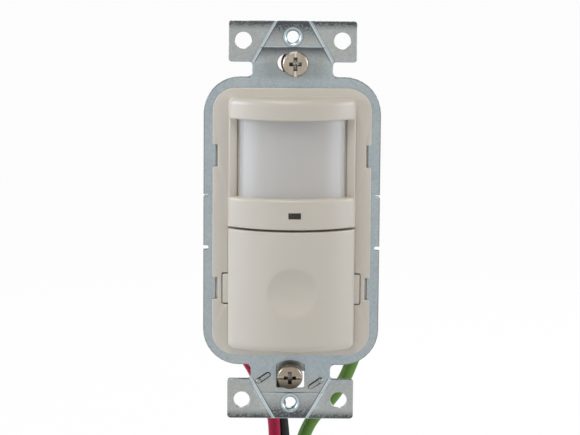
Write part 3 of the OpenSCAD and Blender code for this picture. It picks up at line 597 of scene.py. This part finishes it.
def carved(piece, cutters, angle=30):
    """Cuts the cutters out of a piece: removing their meshes removes them."""
    for cutter in cutters:
        change = piece.modifiers.new("cut", "BOOLEAN")
        change.operation = "DIFFERENCE"
        change.solver = "EXACT"
        change.object = cutter
    spent = [piece.data] + [cutter.data for cutter in cutters]
    piece.data = final_mesh(piece)
    piece.modifiers.clear()
    smoothed(piece.data, angle)
    for mesh in spent:
        bpy.data.meshes.remove(mesh)
    return piece


def weighted(piece):
    """Lets the large faces of a piece lead its shading."""
    change = piece.modifiers.new("normals", "WEIGHTED_NORMAL")
    change.keep_sharp = True
    change.weight = 80
    return piece


def arc(x, z, r, start, sweep, seg):
    """Points of an arc about (x, z), its angles in degrees."""
    angles = [math.radians(start + sweep * i / seg) for i in range(seg + 1)]
    return [(x + r * math.cos(a), z + r * math.sin(a)) for a in angles]


def rounded_loop(w, h, r, x=0.0, z=0.0, seg=10):
    """Points of a rectangle with round corners."""
    points = []
    for sx, sz, start in ((1, 1, 0), (-1, 1, 90), (-1, -1, 180), (1, -1, 270)):
        points += arc(x + sx * (w / 2 - r), z + sz * (h / 2 - r), r, start, 90, seg)
    return points


def circle_loop(x, z, r):
    return arc(x, z, r, 0, 360, 40)[:-1]


def mirrored(right):
    """The right half of an outline, from low to high or back, and its left half."""
    return right + [(-x, *rest) for x, *rest in reversed(right)]


def rounded_corners(corners, seg=5):
    """The outline through corners of (x, z, radius)."""
    out = []
    points = [Vector((x, z)) for x, z, _ in corners]
    for i, here in enumerate(points):
        r = corners[i][2]
        a = (points[i - 1] - here).normalized()
        b = (points[(i + 1) % len(points)] - here).normalized()
        half = a.angle(b) / 2
        reach = r / math.tan(half)
        centre = here + (a + b).normalized() * (r / math.sin(half))
        start, end = here + a * reach - centre, here + b * reach - centre
        turn = start.angle_signed(end)
        for k in range(seg + 1):
            t = -turn * k / seg
            out.append((centre.x + start.x * math.cos(t) - start.y * math.sin(t),
                        centre.y + start.x * math.sin(t) + start.y * math.cos(t)))
    return out


def sheet(name, loops, y_front, y_back, edge=0.12):
    """A sheet between two levels on Y, its edges softly rounded: the first loop is its outline."""
    curve = bpy.data.curves.new(name, "CURVE")
    curve.dimensions = "2D"
    curve.fill_mode = "BOTH"
    curve.extrude = ((y_back - y_front) / 2 - edge) * MM
    curve.bevel_depth = edge * MM
    curve.bevel_resolution = 2
    curve.offset = -edge * MM
    for loop in loops:
        spline = curve.splines.new("POLY")
        spline.points.add(len(loop) - 1)
        for point, (x, z) in zip(spline.points, loop):
            point.co = (x * MM, z * MM, 0, 1)
        spline.use_cyclic_u = True
    mesh = final_mesh(linked(name, curve))
    bpy.data.curves.remove(curve)
    mesh.transform(Matrix.Translation((0, (y_front + y_back) / 2 * MM, 0))
                   @ Matrix.Rotation(math.pi / 2, 4, "X"))
    bm = bmesh.new()
    bm.from_mesh(mesh)
    bpy.data.meshes.remove(mesh)
    bmesh.ops.remove_doubles(bm, verts=bm.verts, dist=1e-6)
    return finished(bm, name)


def box(bm, x0, x1, y0, y1, z0, z1, round_by=0.0, seg=2, turn=None):
    """Adds a box to a bmesh, with its edges rounded."""
    made = bmesh.ops.create_cube(bm, size=1.0)["verts"]
    for v in made:
        v.co = Vector(((x0 + x1) / 2 + v.co.x * (x1 - x0), (y0 + y1) / 2 + v.co.y * (y1 - y0),
                       (z0 + z1) / 2 + v.co.z * (z1 - z0))) * MM
        if turn:
            v.co = turn @ v.co
    if round_by:
        edges = list({e for v in made for e in v.link_edges})
        bmesh.ops.bevel(bm, geom=edges, offset=round_by * MM, segments=seg, affect="EDGES",
                        profile=0.5)
    return bm


def side_boxes(bm, near, far, *rest):
    """Adds a box at each side, from near to far of the middle."""
    box(bm, -far, -near, *rest)
    box(bm, near, far, *rest)


def turned(bm, profile, centre, axis=(0, 1, 0), seg=48):
    """Adds a solid of revolution: profile is (radius, distance along axis), a ring if closed."""
    way = Vector(axis).normalized()
    side = way.orthogonal().normalized()
    other = way.cross(side)
    rings = []
    closed = tuple(profile[0]) == tuple(profile[-1])
    for r, s in profile[:-1] if closed else profile:
        base = Vector(centre) + way * s
        count = 1 if r <= 1e-6 else seg
        rings.append([bm.verts.new((base + ray(side, other, math.tau * k / seg) * r) * MM)
                      for k in range(count)])
    if closed:
        rings.append(rings[0])
    for a, b in zip(rings, rings[1:]):
        for k in range(seg):
            n = k + 1
            corners = dict.fromkeys((a[k % len(a)], a[n % len(a)], b[n % len(b)], b[k % len(b)]))
            if len(corners) > 2:
                bm.faces.new(tuple(corners))
    for ring in (rings[0], rings[-1]):
        if len(ring) > 1 and not closed:
            bm.faces.new(ring)
    return bm


# Crowned mouldings
def spread(low, high, inner, low_edge, high_edge):
    """Grid lines from low to high: fine within each rounded edge, even between."""
    edge_steps = 6
    eased = [1 - math.cos(math.pi / 2 * i / edge_steps) for i in range(edge_steps + 1)]
    lines = [low + low_edge * share for share in eased]
    start, end = lines[-1], high - high_edge
    lines += [start + (end - start) * i / inner for i in range(1, inner)]
    return lines + [high - high_edge * share for share in reversed(eased)]


def fall(edge, depth):
    """How far a rounded edge falls at a distance from the outline."""
    if depth >= edge or edge <= 0:
        return 0.0
    return edge - math.sqrt(max(0.0, edge * edge - (edge - depth) ** 2))


class Crown:
    """The shape of a crowned block: its outline, round edges and front."""

    def __init__(self, half, low, high, side_r, low_r, high_r, low_corner, high_corner,
                 crown_r=CROWN_R, dent=None):
        self.half, self.low, self.high = half, low, high
        self.side_r, self.low_r, self.high_r = side_r, low_r, high_r
        self.low_corner, self.high_corner = low_corner, high_corner
        self.crown_r, self.dent = crown_r, dent

    def point(self, x, z):
        """A grid point moved into the round-cornered outline, and its fall there."""
        if z > (self.low + self.high) / 2:
            way, end, corner, end_r = 1, self.high, self.high_corner, self.high_r
        else:
            way, end, corner, end_r = -1, self.low, self.low_corner, self.low_r
        cx, cz = self.half - corner, end - way * corner
        dx, dz = abs(x) - cx, way * (z - cz)
        if dx > 0 and dz > 0 and corner > 0:
            size = math.hypot(dx, dz)
            shrink = max(dx, dz) / size
            share = (dz / size) ** 2
            drop = fall(self.side_r * (1 - share) + end_r * share, corner - max(dx, dz))
            x = math.copysign(cx + dx * shrink, x)
            z = cz + way * dz * shrink
        else:
            drop = max(fall(self.side_r, self.half - abs(x)), fall(end_r, way * (end - z)))
        y = CROWN_Y - math.sqrt(self.crown_r ** 2 - x * x) + drop
        if self.dent:
            y += self.dent(x, z)
        return x, y, z


def crowned_shell(name, crown, back, step=0.8):
    """A shell with a crowned front, open at its back: back is a level on Y."""
    across = round(2 * crown.half / step)
    upward = round((crown.high - crown.low) / step)
    inner = Crown(crown.half - WALL, crown.low + WALL, crown.high - WALL, 0.4, 0.4, 0.4,
                  max(0.4, crown.low_corner - WALL), max(0.4, crown.high_corner - WALL),
                  crown.crown_r - WALL, crown.dent)
    bm = bmesh.new()

    def skin(shape):
        xs = spread(-shape.half, shape.half, across, shape.side_r, shape.side_r)
        zs = spread(shape.low, shape.high, upward, shape.low_r, shape.high_r)
        grid = [[bm.verts.new(Vector(shape.point(x, z)) * MM) for x in xs] for z in zs]
        for a, b in zip(grid, grid[1:]):
            for k in range(len(xs) - 1):
                bm.faces.new((a[k], a[k + 1], b[k + 1], b[k]))
        rim = grid[0][:] + [row[-1] for row in grid[1:]] + grid[-1][-2::-1] + [
            row[0] for row in grid[-2:0:-1]]
        foot = [bm.verts.new(Vector((v.co.x, back * MM, v.co.z))) for v in rim]
        banded(bm, foot, rim)
        return foot

    banded(bm, skin(crown), skin(inner))
    return finished(bm, name, 38)


def finger_dimple(x, z):
    """How far the crown is dished in at a point: the rim of the dish follows the crown."""
    r = math.hypot(x - DIMPLE_X, z - BUTTON_MID) / DIMPLE_R
    if r >= 1.0:
        return 0.0
    return (1 - r ** 2.8) * DIMPLE_DEPTH


def build_cover():
    """The front cover: plate, top bar, band, side strips, skirts and the frame at the button."""
    open_low, open_high = 0.9, 31.5
    opening = rounded_loop(2 * (FACE_HALF - WALL), open_high - open_low, 1.0, 0,
                           (open_high + open_low) / 2, 4)
    clear, wing_clear, wing_side_clear = 0.04, 0.3, 0.1
    wing_half, wing_out = WING_HALF + wing_clear, FACE_HALF + 1.55 + wing_side_clear
    side, low, top = FACE_HALF + clear, -FACE_TOP - clear, BUTTON_TOP + clear
    wing_low, wing_high = WING_Z - wing_half, WING_Z + wing_half
    hole = mirrored([(side, low, 1.9), (side, wing_low, 0.3), (wing_out, wing_low, 0.6),
                     (wing_out, wing_high, 0.6), (side, wing_high, 0.3), (side, top, 0.3)])
    plate = sheet("cover_plate", [plate_loop(), opening, rounded_corners(hole)],
                  PLATE_FRONT, FRONT, 0.22)
    dressed(plate, "almond_plastic", replaces=("front_cover",))

    bar = Crown(FACE_HALF, BAR_Z, FACE_TOP, 0.9, 0.4, 1.75, 0.9, 1.9)
    dressed(crowned_shell("cover_top_bar", bar, FRONT), "almond_plastic")
    band = Crown(FACE_HALF, BAND_LOW, BAND_TOP, 0.8, 0.3, 0.65, 0.3, 0.9)
    light_hole = finished(box(bmesh.new(), LIGHT_X - 1.62, LIGHT_X + 1.62, -13, -6,
                              LIGHT_Z - 0.8, LIGHT_Z + 0.8), "light_hole_cutter")
    dressed(carved(crowned_shell("cover_band", band, FRONT), [light_hole], 38), "almond_plastic")

    bm = bmesh.new()
    z0, z1 = BAND_TOP - 0.5, BAR_Z + 0.5
    side_boxes(bm, 14.2, 16.4, PLATE_FRONT - 1.5, PLATE_FRONT - 0.3, z0, z1, 0.3, 3)
    side_boxes(bm, 14.8, 16.4, PLATE_FRONT - 0.9, FRONT, z0, z1)
    dressed(finished(bm, "cover_side_strips", 40), "almond_plastic")

    bm = bmesh.new()
    low, high = NOTCH[0] + 0.05, NOTCH[1] - 0.05
    for z0, z1 in ((-high, -low), (low, high)):
        side_boxes(bm, 18.7, 19.1, FRONT, -0.1, z0, z1)
        side_boxes(bm, 19.05, 19.68, FRONT + 0.3, -0.1, z0, z1)
    dressed(finished(bm, "cover_notch_skirts", 40), "almond_plastic")
    build_button_frame()


def plate_loop():
    """Outline of the cover's plate, with the notches in its side edges."""
    w, h, depth, r, notch_r = 20.6, 35.2, 1.4, 6.0, 0.3
    right = [(w, -h, r)]
    for z0, z1 in ((-NOTCH[1], -NOTCH[0]), NOTCH):
        right += [(x, z, notch_r) for x, z in
                  ((w, z0), (w - depth, z0), (w - depth, z1), (w, z1))]
    return rounded_corners(mirrored(right + [(w, h, r)]), 8)


def build_button_frame():
    """The web, guide walls, dial deck and bosses behind the button."""
    wall, web_front, web_x, out_x, low, high = 1.2, -0.3, 15.6, 19.2, -32.6, -3
    deck_low, deck_high, dial_x, dial_z, dial_r = -30.4, -4, 8.4, -25.6, 3.1
    bm = bmesh.new()
    # The web at each side, its outer guide wall, and the strips round each wing's slot
    side_boxes(bm, DECK_HALF - wall, web_x, web_front, FRAME_BACK, low, high, 0.1)
    side_boxes(bm, 18.3, out_x, FRONT, FRAME_BACK, -25, -10, 0.1)
    side_boxes(bm, 18.03, 18.5, -1.25, -0.4, WING_Z - 4.4, WING_Z + 4.4)
    for z0, z1 in ((-4.6, -3.75), (3.75, 4.6)):
        side_boxes(bm, 16.2, 18.4, -0.8, -0.2, WING_Z + z0, WING_Z + z1)
    for z0, z1 in ((low, -21.7), (-13.3, high)):
        side_boxes(bm, web_x, out_x, web_front, FRAME_BACK, z0, z1)
    # The walls of the deck, the bosses and the bar behind the band
    side_boxes(bm, DECK_HALF - wall, DECK_HALF, DECK_FRONT, FRAME_BACK, deck_low, deck_high)
    side_boxes(bm, 3.9, DECK_HALF, DECK_FRONT, FRAME_BACK, deck_low, deck_low + wall)
    box(bm, -DECK_HALF, DECK_HALF, DECK_FRONT, FRAME_BACK, deck_high - wall, deck_high)
    for sx, sz in CORNERS:
        turned(bm, [(1.25, 0), (2.4, 0), (2.4, 3.4), (1.25, 3.4), (1.25, 0)],
               (sx * CASE_SCREW_X, -0.2, sz * CASE_SCREW_Z), seg=32)
    box(bm, -14.8, 14.8, -2.0, FRAME_BACK, -3.1, 0.1)
    dressed(finished(bm, "button_frame", 35), "almond_plastic")
    outline = rounded_loop(2 * DECK_HALF, deck_high - deck_low, 0.4, 0,
                           (deck_low + deck_high) / 2, 3)
    holes = [circle_loop(s * dial_x, dial_z, dial_r) for s in SIDES]
    holes.append(circle_loop(DIMPLE_X, BUTTON_MID, 2.5))
    dressed(sheet("dial_deck", [outline] + holes, DECK_FRONT, DECK_FRONT + wall, 0.1),
            "almond_plastic")


def build_button():
    """The push button with its dimple, side wings, hooks and post."""
    crown = Crown(FACE_HALF, -FACE_TOP, BUTTON_TOP, 0.8, 2.0, 0.3, 1.9, 0.3, dent=finger_dimple)
    cap = crowned_shell("push_button_cap", crown, FRONT + 0.5, 0.55)
    dressed(cap, "almond_plastic", "button", ("push_button",))
    wing_in, wing_out, hook_t, hook_out, hook_back, hook_half = 15.2, 17.95, 1.1, 18.75, 2.2, 2
    hook_z = (WING_Z - hook_half, WING_Z + hook_half)
    bm = bmesh.new()
    side_boxes(bm, wing_in, wing_out, PLATE_FRONT - 0.02, FRONT, WING_Z - WING_HALF,
               WING_Z + WING_HALF, 0.25, 3)
    side_boxes(bm, wing_out - hook_t, wing_out, FRONT - 0.2, hook_back, *hook_z, 0.15)
    side_boxes(bm, hook_out - hook_t, hook_out, hook_back - hook_t, hook_back, *hook_z, 0.15)
    turned(bm, [(1.55, 0), (1.7, -0.15), (1.7, -7.4), (0, -7.4)], (DIMPLE_X, -1.65, BUTTON_MID),
           seg=40)
    dressed(finished(bm, "button_wings_and_post", 35), "almond_plastic", "button")


def build_lens():
    """The curved lens sheet, with shallow facet grooves on its inner side."""
    columns, groove_every, groove, foot = 96, 8, 0.12, -1.8

    def section(r, half, depth):
        limit = math.asin(half / r)
        for i in range(columns + 1):
            a = -limit + 2 * limit * i / columns
            reach = r + (depth if i % groove_every == 0 else 0.0)
            yield reach * math.sin(a), LENS_Y - reach * math.cos(a)

    flange_x = FACE_HALF - WALL - 0.1
    right = [(LENS_HALF, foot - 1), (flange_x, foot - 1), (flange_x, foot),
             (LENS_HALF - LENS_T, foot)]
    inner = list(section(LENS_R - LENS_T, LENS_HALF - LENS_T, groove))
    loop = (list(section(LENS_R, LENS_HALF, 0.0)) + right + inner[::-1]
            + mirrored(right)[len(right):])
    rings = [[(x, y, z) for x, y in loop] for z in (BAND_TOP - 0.8, BAR_Z + 0.8)]
    dressed(finished(skinned(bmesh.new(), rings), "curved_sensor_lens"), "milky_lens",
            replaces=("sensor_lens",))


def build_indicator():
    """The smoked light window in the band, with a rounded front rim."""
    bm = bmesh.new()
    for half_x, y0, y1, half_z, round_by, seg in ((1.55, -10.91, 2.1, 0.72, 0.12, 3),
                                                  (2.25, -9.2, -8.4, 1.3, 0.1, 2)):
        box(bm, LIGHT_X - half_x, LIGHT_X + half_x, y0, y1, LIGHT_Z - half_z, LIGHT_Z + half_z,
            round_by, seg)
    dressed(finished(bm, "indicator_light_window", 35), "smoked_window",
            replaces=("indicator_window",))


# Strap
def strap_loop():
    """Outline of the strap: frame, necks and ears."""
    upper = mirrored([(STRAP_HALF_X, STRAP_HALF_Z, STRAP_CORNER), (NECK_HALF, STRAP_HALF_Z, 1.3),
                      (NECK_HALF, EAR_ROOT, 0.8), (EAR_HALF, EAR_ROOT, 0.8),
                      (EAR_HALF, EAR_END, 1.0)])
    return rounded_corners(upper + [(-x, -z, r) for x, z, r in upper], 9)


def arched_window():
    """The bottom screw's window with its arched top."""
    half, low, crest, r, cut = 3.7, -44.4, -36.95, 6.8, 0.3
    lean = math.degrees(math.asin(half / r))
    arch = arc(0, crest - r, r, 90 - lean, 2 * lean, 14)
    return [(-half + cut, low), (half - cut, low), (half, low + cut)] + arch + [(-half, low + cut)]


def slot_loop(x, z, length, width, turn=0.0, seg=8):
    """Points of a slot with round ends, turned about its middle."""
    reach, r = (length - width) / 2, width / 2
    points = arc(reach, 0, r, -90, 180, seg) + arc(-reach, 0, r, 90, 180, seg)
    c, s = math.cos(turn), math.sin(turn)
    return [(x + px * c - pz * s, z + px * s + pz * c) for px, pz in points]


def score_cutter(sx, sz, half=0.62, depth=0.3):
    """A V-shaped bar that cuts a score groove into an ear's front."""
    a, b = Vector((sx * SCORE_END, sz * EAR_END)), Vector((sx * NECK_HALF, sz * EAR_ROOT))
    way = (b - a).normalized()
    across = Vector((-way.y, way.x)) * half
    section = ((-2, -depth), (2, -depth), (0.08, depth), (-0.08, depth))
    rings = [[(end.x + k * across.x, FRONT + y, end.y + k * across.y) for k, y in section]
             for end in (a - way * 1.5, b + way * 0.2)]
    return finished(skinned(bmesh.new(), rings), "score_cutter")


def nick_cutter(sx, sz):
    """A bar that cuts a nick into the frame's side: the lower nicks are larger and rounder."""
    half, deep, round_by = (0.4, 1.5, 0) if sz > 0 else (0.55, 1.65, 0.45)
    x, z = sx * (STRAP_HALF_X + 0.3), sz * 6.85
    return finished(box(bmesh.new(), x - deep, x + deep, -3, 2, z - half, z + half, round_by, 4),
                    "nick_cutter")


def coin_cutter(sz):
    """The area pressed back between the scores of an ear, with the fall before its fold."""
    start, end, pressed, steps, curve = 42.4, 54.0, 0.24, 9, 0.055
    half_at_fold, narrowing = 8.42, 0.5654
    levels = [start + (FOLD - 0.25 - start) * k / steps for k in range(steps + 1)]
    profile = [(a, FRONT - 0.01 + curve * (a - start) ** 2) for a in levels]
    profile += [(FOLD - 0.1, FRONT + 0.5), (FOLD + 0.12, FRONT + pressed + 0.05),
                (FOLD + 0.35, FRONT + pressed), (end, FRONT + pressed)]
    rings = []
    for a, y in profile:
        half = half_at_fold + (FOLD - a) * narrowing
        rings.append([(x, level, sz * a) for x, level in
                      ((-half, FRONT - 1), (half, FRONT - 1), (half, y), (-half, y))])
    return finished(skinned(bmesh.new(), rings), "coin_cutter")


def funnel_cutter(sz):
    """A wall-plate screw hole with its rounded funnel mouth."""
    bore, mouth, roll = 1.5, 2.5, 1.0
    profile = ([(0, -1.5), (mouth + 0.12, -1.5), (mouth + 0.12, -0.03)]
               + arc(mouth, roll, roll, 270, -90, 9) + [(bore, 3), (0, 3)])
    return finished(turned(bmesh.new(), profile, (0, FRONT + 0.3, sz * PLATE_HOLE_Z)),
                    "funnel_cutter")


def roll_ear_ends(strap, start=50.1, end=52.5, radius=7.0, steps=9):
    """Rolls the front face of both ears back towards their outer ends."""
    bm = bmesh.new()
    bm.from_mesh(strap.data)
    for sz in SIDES:
        for k in range(steps):
            level = sz * (start + (end - start) * k / (steps - 1))
            bmesh.ops.bisect_plane(bm, geom=bm.verts[:] + bm.edges[:] + bm.faces[:], dist=1e-7,
                                   plane_co=(0, 0, level * MM), plane_no=(0, 0, 1))
    for v in bm.verts:
        past = abs(v.co.z) / MM - start
        if past > 0:
            share = min(1.0, max(0.0, v.co.y / (FRONT * MM)))
            v.co.y += (radius - math.sqrt(radius ** 2 - past ** 2)) * share * MM
    bm.to_mesh(strap.data)
    bm.free()
    smoothed(strap.data, 30)


def build_strap():
    """The plated mounting strap with its ears, scores, pressed holes and side tabs."""
    holes = [rounded_loop(39.5, 67.0, 3.0, seg=8)]
    holes += [circle_loop(sx * 12.8, sz * 47.5, 2.15) for sx, sz in CORNERS]
    holes += [slot_loop(0, 41.65, 8, 4.6), arched_window()]
    holes += [slot_loop(x, z, 4.45, 1.35, math.radians(35), 4)
              for x, z in ((-7.15, -41.6), (6.6, -43.1))]
    strap = sheet("stamped_strap", [strap_loop()] + holes, FRONT, 0, 0.16)
    cutters = []
    for sz in SIDES:
        cutters += [score_cutter(sx, sz) for sx in SIDES]
        cutters += [coin_cutter(sz), funnel_cutter(sz)]
        cutters += [nick_cutter(sx, sz) for sx in SIDES]
    carved(strap, cutters)
    roll_ear_ends(strap)
    dressed(weighted(strap), "zinc_steel", replaces=("mounting_strap",))

    bm = bmesh.new()
    for sz in SIDES:
        turned(bm, [(1.5, -0.04), (2.35, -0.04), (2.35, 1.15), (2.2, 1.3), (1.65, 1.3),
                    (1.5, 1.15), (1.5, -0.04)], (0, 0, sz * PLATE_HOLE_Z))
    side_boxes(bm, STRAP_HALF_X - STRAP_T, STRAP_HALF_X, -0.8, 4.0, -6.4, 6.4, 0.3, 3)
    box(bm, -3.2, 3.2, FRONT, 0, -34.5, -31.0, 0.15)
    turned(bm, [(1.2, -1.5), (3.1, -1.5), (3.2, -1.4), (3.2, -0.1), (3.1, 0), (1.2, 0),
                (1.2, -1.5)], (0, 0, -29.5), seg=40)
    dressed(finished(bm, "strap_collars_and_tabs", 35), "zinc_steel")

    bm = bmesh.new()
    dome = [(0, 0.3), (0.72, 0.3), (0.72, -0.35), (0.62, -0.6), (0.36, -0.76), (0, -0.82)]
    for x, z in ((-8.35, -42.4), (7.98, -42.1)):
        turned(bm, [(r, FRONT + y) for r, y in dome], (x, 0, z), seg=20)
    dressed(finished(bm, "stake_curls", 60), "clip_steel")


# Screws
def threaded(bm, r, pitch, start, end, centre, way, seg=28):
    """Adds a helical thread as one swept skin from start to end along the way."""
    side = way.orthogonal().normalized()
    other = way.cross(side)
    root = r - pitch * 0.5
    steps = int((end - start) / pitch * seg)
    sections = [(0.0, root), (0.42, r), (0.58, r), (1.0, root)]
    rings = []
    for i in range(steps + 1):
        base = start + pitch * i / seg
        out = ray(side, other, math.tau * i / seg)
        taper = min(1.0, i / seg, (steps - i) / seg)
        rings.append([Vector(centre) + way * (base + (along - 0.5) * pitch)
                      + out * (root + (reach - root) * taper) for along, reach in sections])
    skinned(bm, rings)


def box_screw(name, centre, axis, body, node, slot_turn):
    """A box screw: pan head with a slot and a cross recess, and a cut thread."""
    way = Vector(axis).normalized()
    head_r, head_h, r, length, edge_r = 3.35, 1.9, 1.7, 16.0, 0.58
    profile = [(0.0, 0.05), (r, 0.05), (head_r - 0.25, 0.0), (head_r - 0.05, -0.12),
               (head_r, -0.35), (head_r - 0.02, -1.25)]
    profile += arc(head_r - 0.6, -1.25, edge_r, 0, -82, 6)[1:]
    profile += [(1.6, -head_h + 0.01), (0.0, -head_h)]
    head = finished(turned(bmesh.new(), profile, centre, way, 64), name, 40)
    seat = (Matrix.Translation(Vector(centre) * MM)
            @ way.to_track_quat("Y", "Z").to_matrix().to_4x4())
    cutters = []
    for spin, half_w, half_l, deep in ((slot_turn, 0.40, 3.6, 0.5), (0, 0.5, 1.75, 1.3),
                                       (90, 0.5, 1.6, 1.3), (45, 0.8, 0.8, 1.2)):
        place = seat @ Matrix.Rotation(math.radians(spin), 4, "Y")
        cutters.append(finished(box(bmesh.new(), -half_w, half_w, -head_h - 1, -head_h + deep,
                                    -half_l, half_l, turn=place), "drive_cutter"))
    carved(head, cutters, 40)
    dressed(weighted(head), "screw_steel", body, (node,))
    core = r - 0.35
    bm = turned(bmesh.new(), [(0, -0.6), (1.4, -0.6), (1.4, 2.8), (core, 2.9),
                              (core, length - 0.9), (core - 0.5, length), (0, length)],
                centre, way, 40)
    threaded(bm, r, 0.8, 3.2, length - 0.5, centre, way)
    dressed(finished(bm, name + "_thread", 25), "screw_steel", body)


def build_screws():
    box_screw("top_screw_head", TOP_SCREW, (0, 1, 0), "top_screw", "top_box_screw", 0)
    box_screw("bottom_screw_head", BOTTOM_SCREW, (0, math.cos(LEAN), math.sin(LEAN)),
              "bottom_screw", "bottom_box_screw", 90)


# Housing
def build_housing():
    """The back housing: a rounded moulded case with collars, side grooves and screw recesses."""
    w, h, depth, corner, wall = 42.4, 69.2, 26, 5, 1.8
    case = sheet("back_housing_case", [rounded_loop(w, h, corner)], 0, depth, 0.9)
    hollow = rounded_loop(w - 2 * wall, h - 2 * wall, corner - wall)
    cutters = [sheet("hollow_cutter", [hollow], -2, depth - wall, 0.5)]
    seat = [(0, 20), (1.5, 20), (1.5, 24.7), (2.6, 26.1), (2.6, 28), (0, 28)]
    for sx, sz in CORNERS:
        at = (sx * CASE_SCREW_X, 0, sz * CASE_SCREW_Z)
        cutters.append(finished(turned(bmesh.new(), seat, at, seg=40), "screw_seat_cutter"))
    exits = [(route[0][0], route[0][1], diameter / 2) for _, route, diameter, *_ in LEADS]
    for x, y, r in exits:
        bore = [(0, -38), (r - 0.3, -38), (r - 0.3, -31), (0, -31)]
        cutters.append(finished(turned(bmesh.new(), bore, (x, y, 0), (0, 0, 1), 32),
                                "lead_cutter"))
    bm = bmesh.new()
    for z in range(-22, 23, 11):
        side_boxes(bm, 20.9, 22.5, 6, 20, z - 1.1, z + 1.1)
    cutters.append(finished(bm, "groove_cutter"))
    cutters.append(finished(box(bmesh.new(), -12, 12, 25.7, 28, -22, 22, 0.25), "panel_cutter"))
    dressed(weighted(carved(case, cutters)), "ivory_housing", replaces=("back_housing",))

    bm = bmesh.new()
    for x, y, r in exits:
        collar = [(r - 0.3, 0), (r + 0.45, 0), (r + 0.6, 0.15), (r + 0.7, 2.4), (r - 0.3, 2.4),
                  (r - 0.3, 0)]
        turned(bm, [(reach, COLLAR_Z + up) for reach, up in collar], (x, y, 0), (0, 0, 1), 40)
    for sx, sz in CORNERS:
        turned(bm, [(1.5, 4.8), (2.7, 4.8), (2.7, 24.3), (1.5, 24.3), (1.5, 4.8)],
               (sx * CASE_SCREW_X, 0, sz * CASE_SCREW_Z), seg=32)
        turned(bm, [(0, 21.8), (2, 21.8), (2, 24.3), (0, 24.3)], (sx * 15, 0, sz * 22), seg=32)
    dressed(finished(bm, "housing_posts_and_collars", 35), "ivory_housing")


# Stage
AMBIENT = 0.345
FLOOR_SIZE, FLOOR_LEVEL, FLOOR_WHITE = 12.0, -0.1875, 0.97
LAMPS = (
    # name, place and width in metres, watts, colour
    ("left_lamp", (-0.87, -0.22, 0.22), 0.5, 5.95, (0.88, 0.96, 1.09)),
    ("right_lamp", (0.87, -0.24, 0.18), 0.5, 4.6, (0.94, 0.98, 1.07)),
    ("top_lamp", (-0.12, -0.40, 0.86), 0.5, 4.65, (1.04, 1.0, 0.95)),
    ("back_lamp", (0.2, 0.8, 0.4), 0.7, 4.0, (1.0, 1.0, 1.0)),
)


def build_world():
    """Light from all round, strongest near the horizon: the camera sees it as white."""
    world = bpy.context.scene.world or bpy.data.worlds.new("studio")
    bpy.context.scene.world = world
    world.use_nodes = True
    world.node_tree.nodes.clear()
    n = Nodes(world.node_tree)
    up = n.add("ShaderNodeSeparateXYZ", None, n.add("ShaderNodeTexCoord", out="Generated"),
               out="Z")
    lit, reflected = (
        n.add("ShaderNodeValToRGB", {"stops": stops}, up)
        for stops in (((0.0, 0.9), (0.12, 1.0), (0.45, 0.42), (1.0, 0.3)),
                      ((0.0, 1.0), (0.3, 0.95), (0.55, 0.35), (1.0, 0.12))))
    seen = n.tint(n.add("ShaderNodeLightPath", out="Is Camera Ray"), reflected, (1, 1, 1))
    n.add("ShaderNodeOutputWorld", Surface=n.add(
        "ShaderNodeMixShader", None, n.shown_rays(),
        n.add("ShaderNodeBackground", None, lit, AMBIENT),
        n.add("ShaderNodeBackground", None, seen, 1.0)))


def build_floor():
    """A white floor that keeps a faint shadow."""
    bm = bmesh.new()
    bm.faces.new([bm.verts.new((x * FLOOR_SIZE, y * FLOOR_SIZE, FLOOR_LEVEL))
                  for x, y in ((-1, -1), (1, -1), (1, 1), (-1, 1))])
    floor = finished(bm, "studio_floor")
    f = Finish("pale_floor")
    f.set(Base_Color=f.tint(f.noise(8, 3), (0.80, 0.80, 0.80), (0.83, 0.83, 0.83)), Roughness=0.7)
    cover = f.add("ShaderNodeMixShader", None, f.shown_rays() * FLOOR_WHITE,
                  Value(f, f.shader.outputs[0]),
                  f.add("ShaderNodeEmission", None, (1, 1, 1), 1.0))
    f.join(cover, f.tree.nodes["Material Output"].inputs["Surface"])
    f.on(floor)


def build_lamps():
    for name, place, size, power, color in LAMPS:
        data = bpy.data.lights.new(name, "AREA")
        data.size = size
        data.energy = power
        data.color = color
        aim = (-Vector(place)).to_track_quat("-Z", "Y").to_matrix().to_4x4()
        linked(name, data).matrix_world = Matrix.Translation(place) @ aim


strands = dressed(bare_strands(), "copper", replaces=("bare_ends",))
for row in LEADS:
    lead(*row, strands)
build_strap()
build_cover()
build_button()
build_lens()
build_indicator()
build_screws()
build_housing()

slots = {row["node"]: row["material_slot"] for row in frame["record"]["subparts"]}
for node, piece in frame["nodes"].items():
    if not piece.hide_render:
        FINISHES[slots[node]].on(piece)

build_world()
build_floor()
build_lamps()
bpy.context.scene.view_settings.view_transform = "Standard"
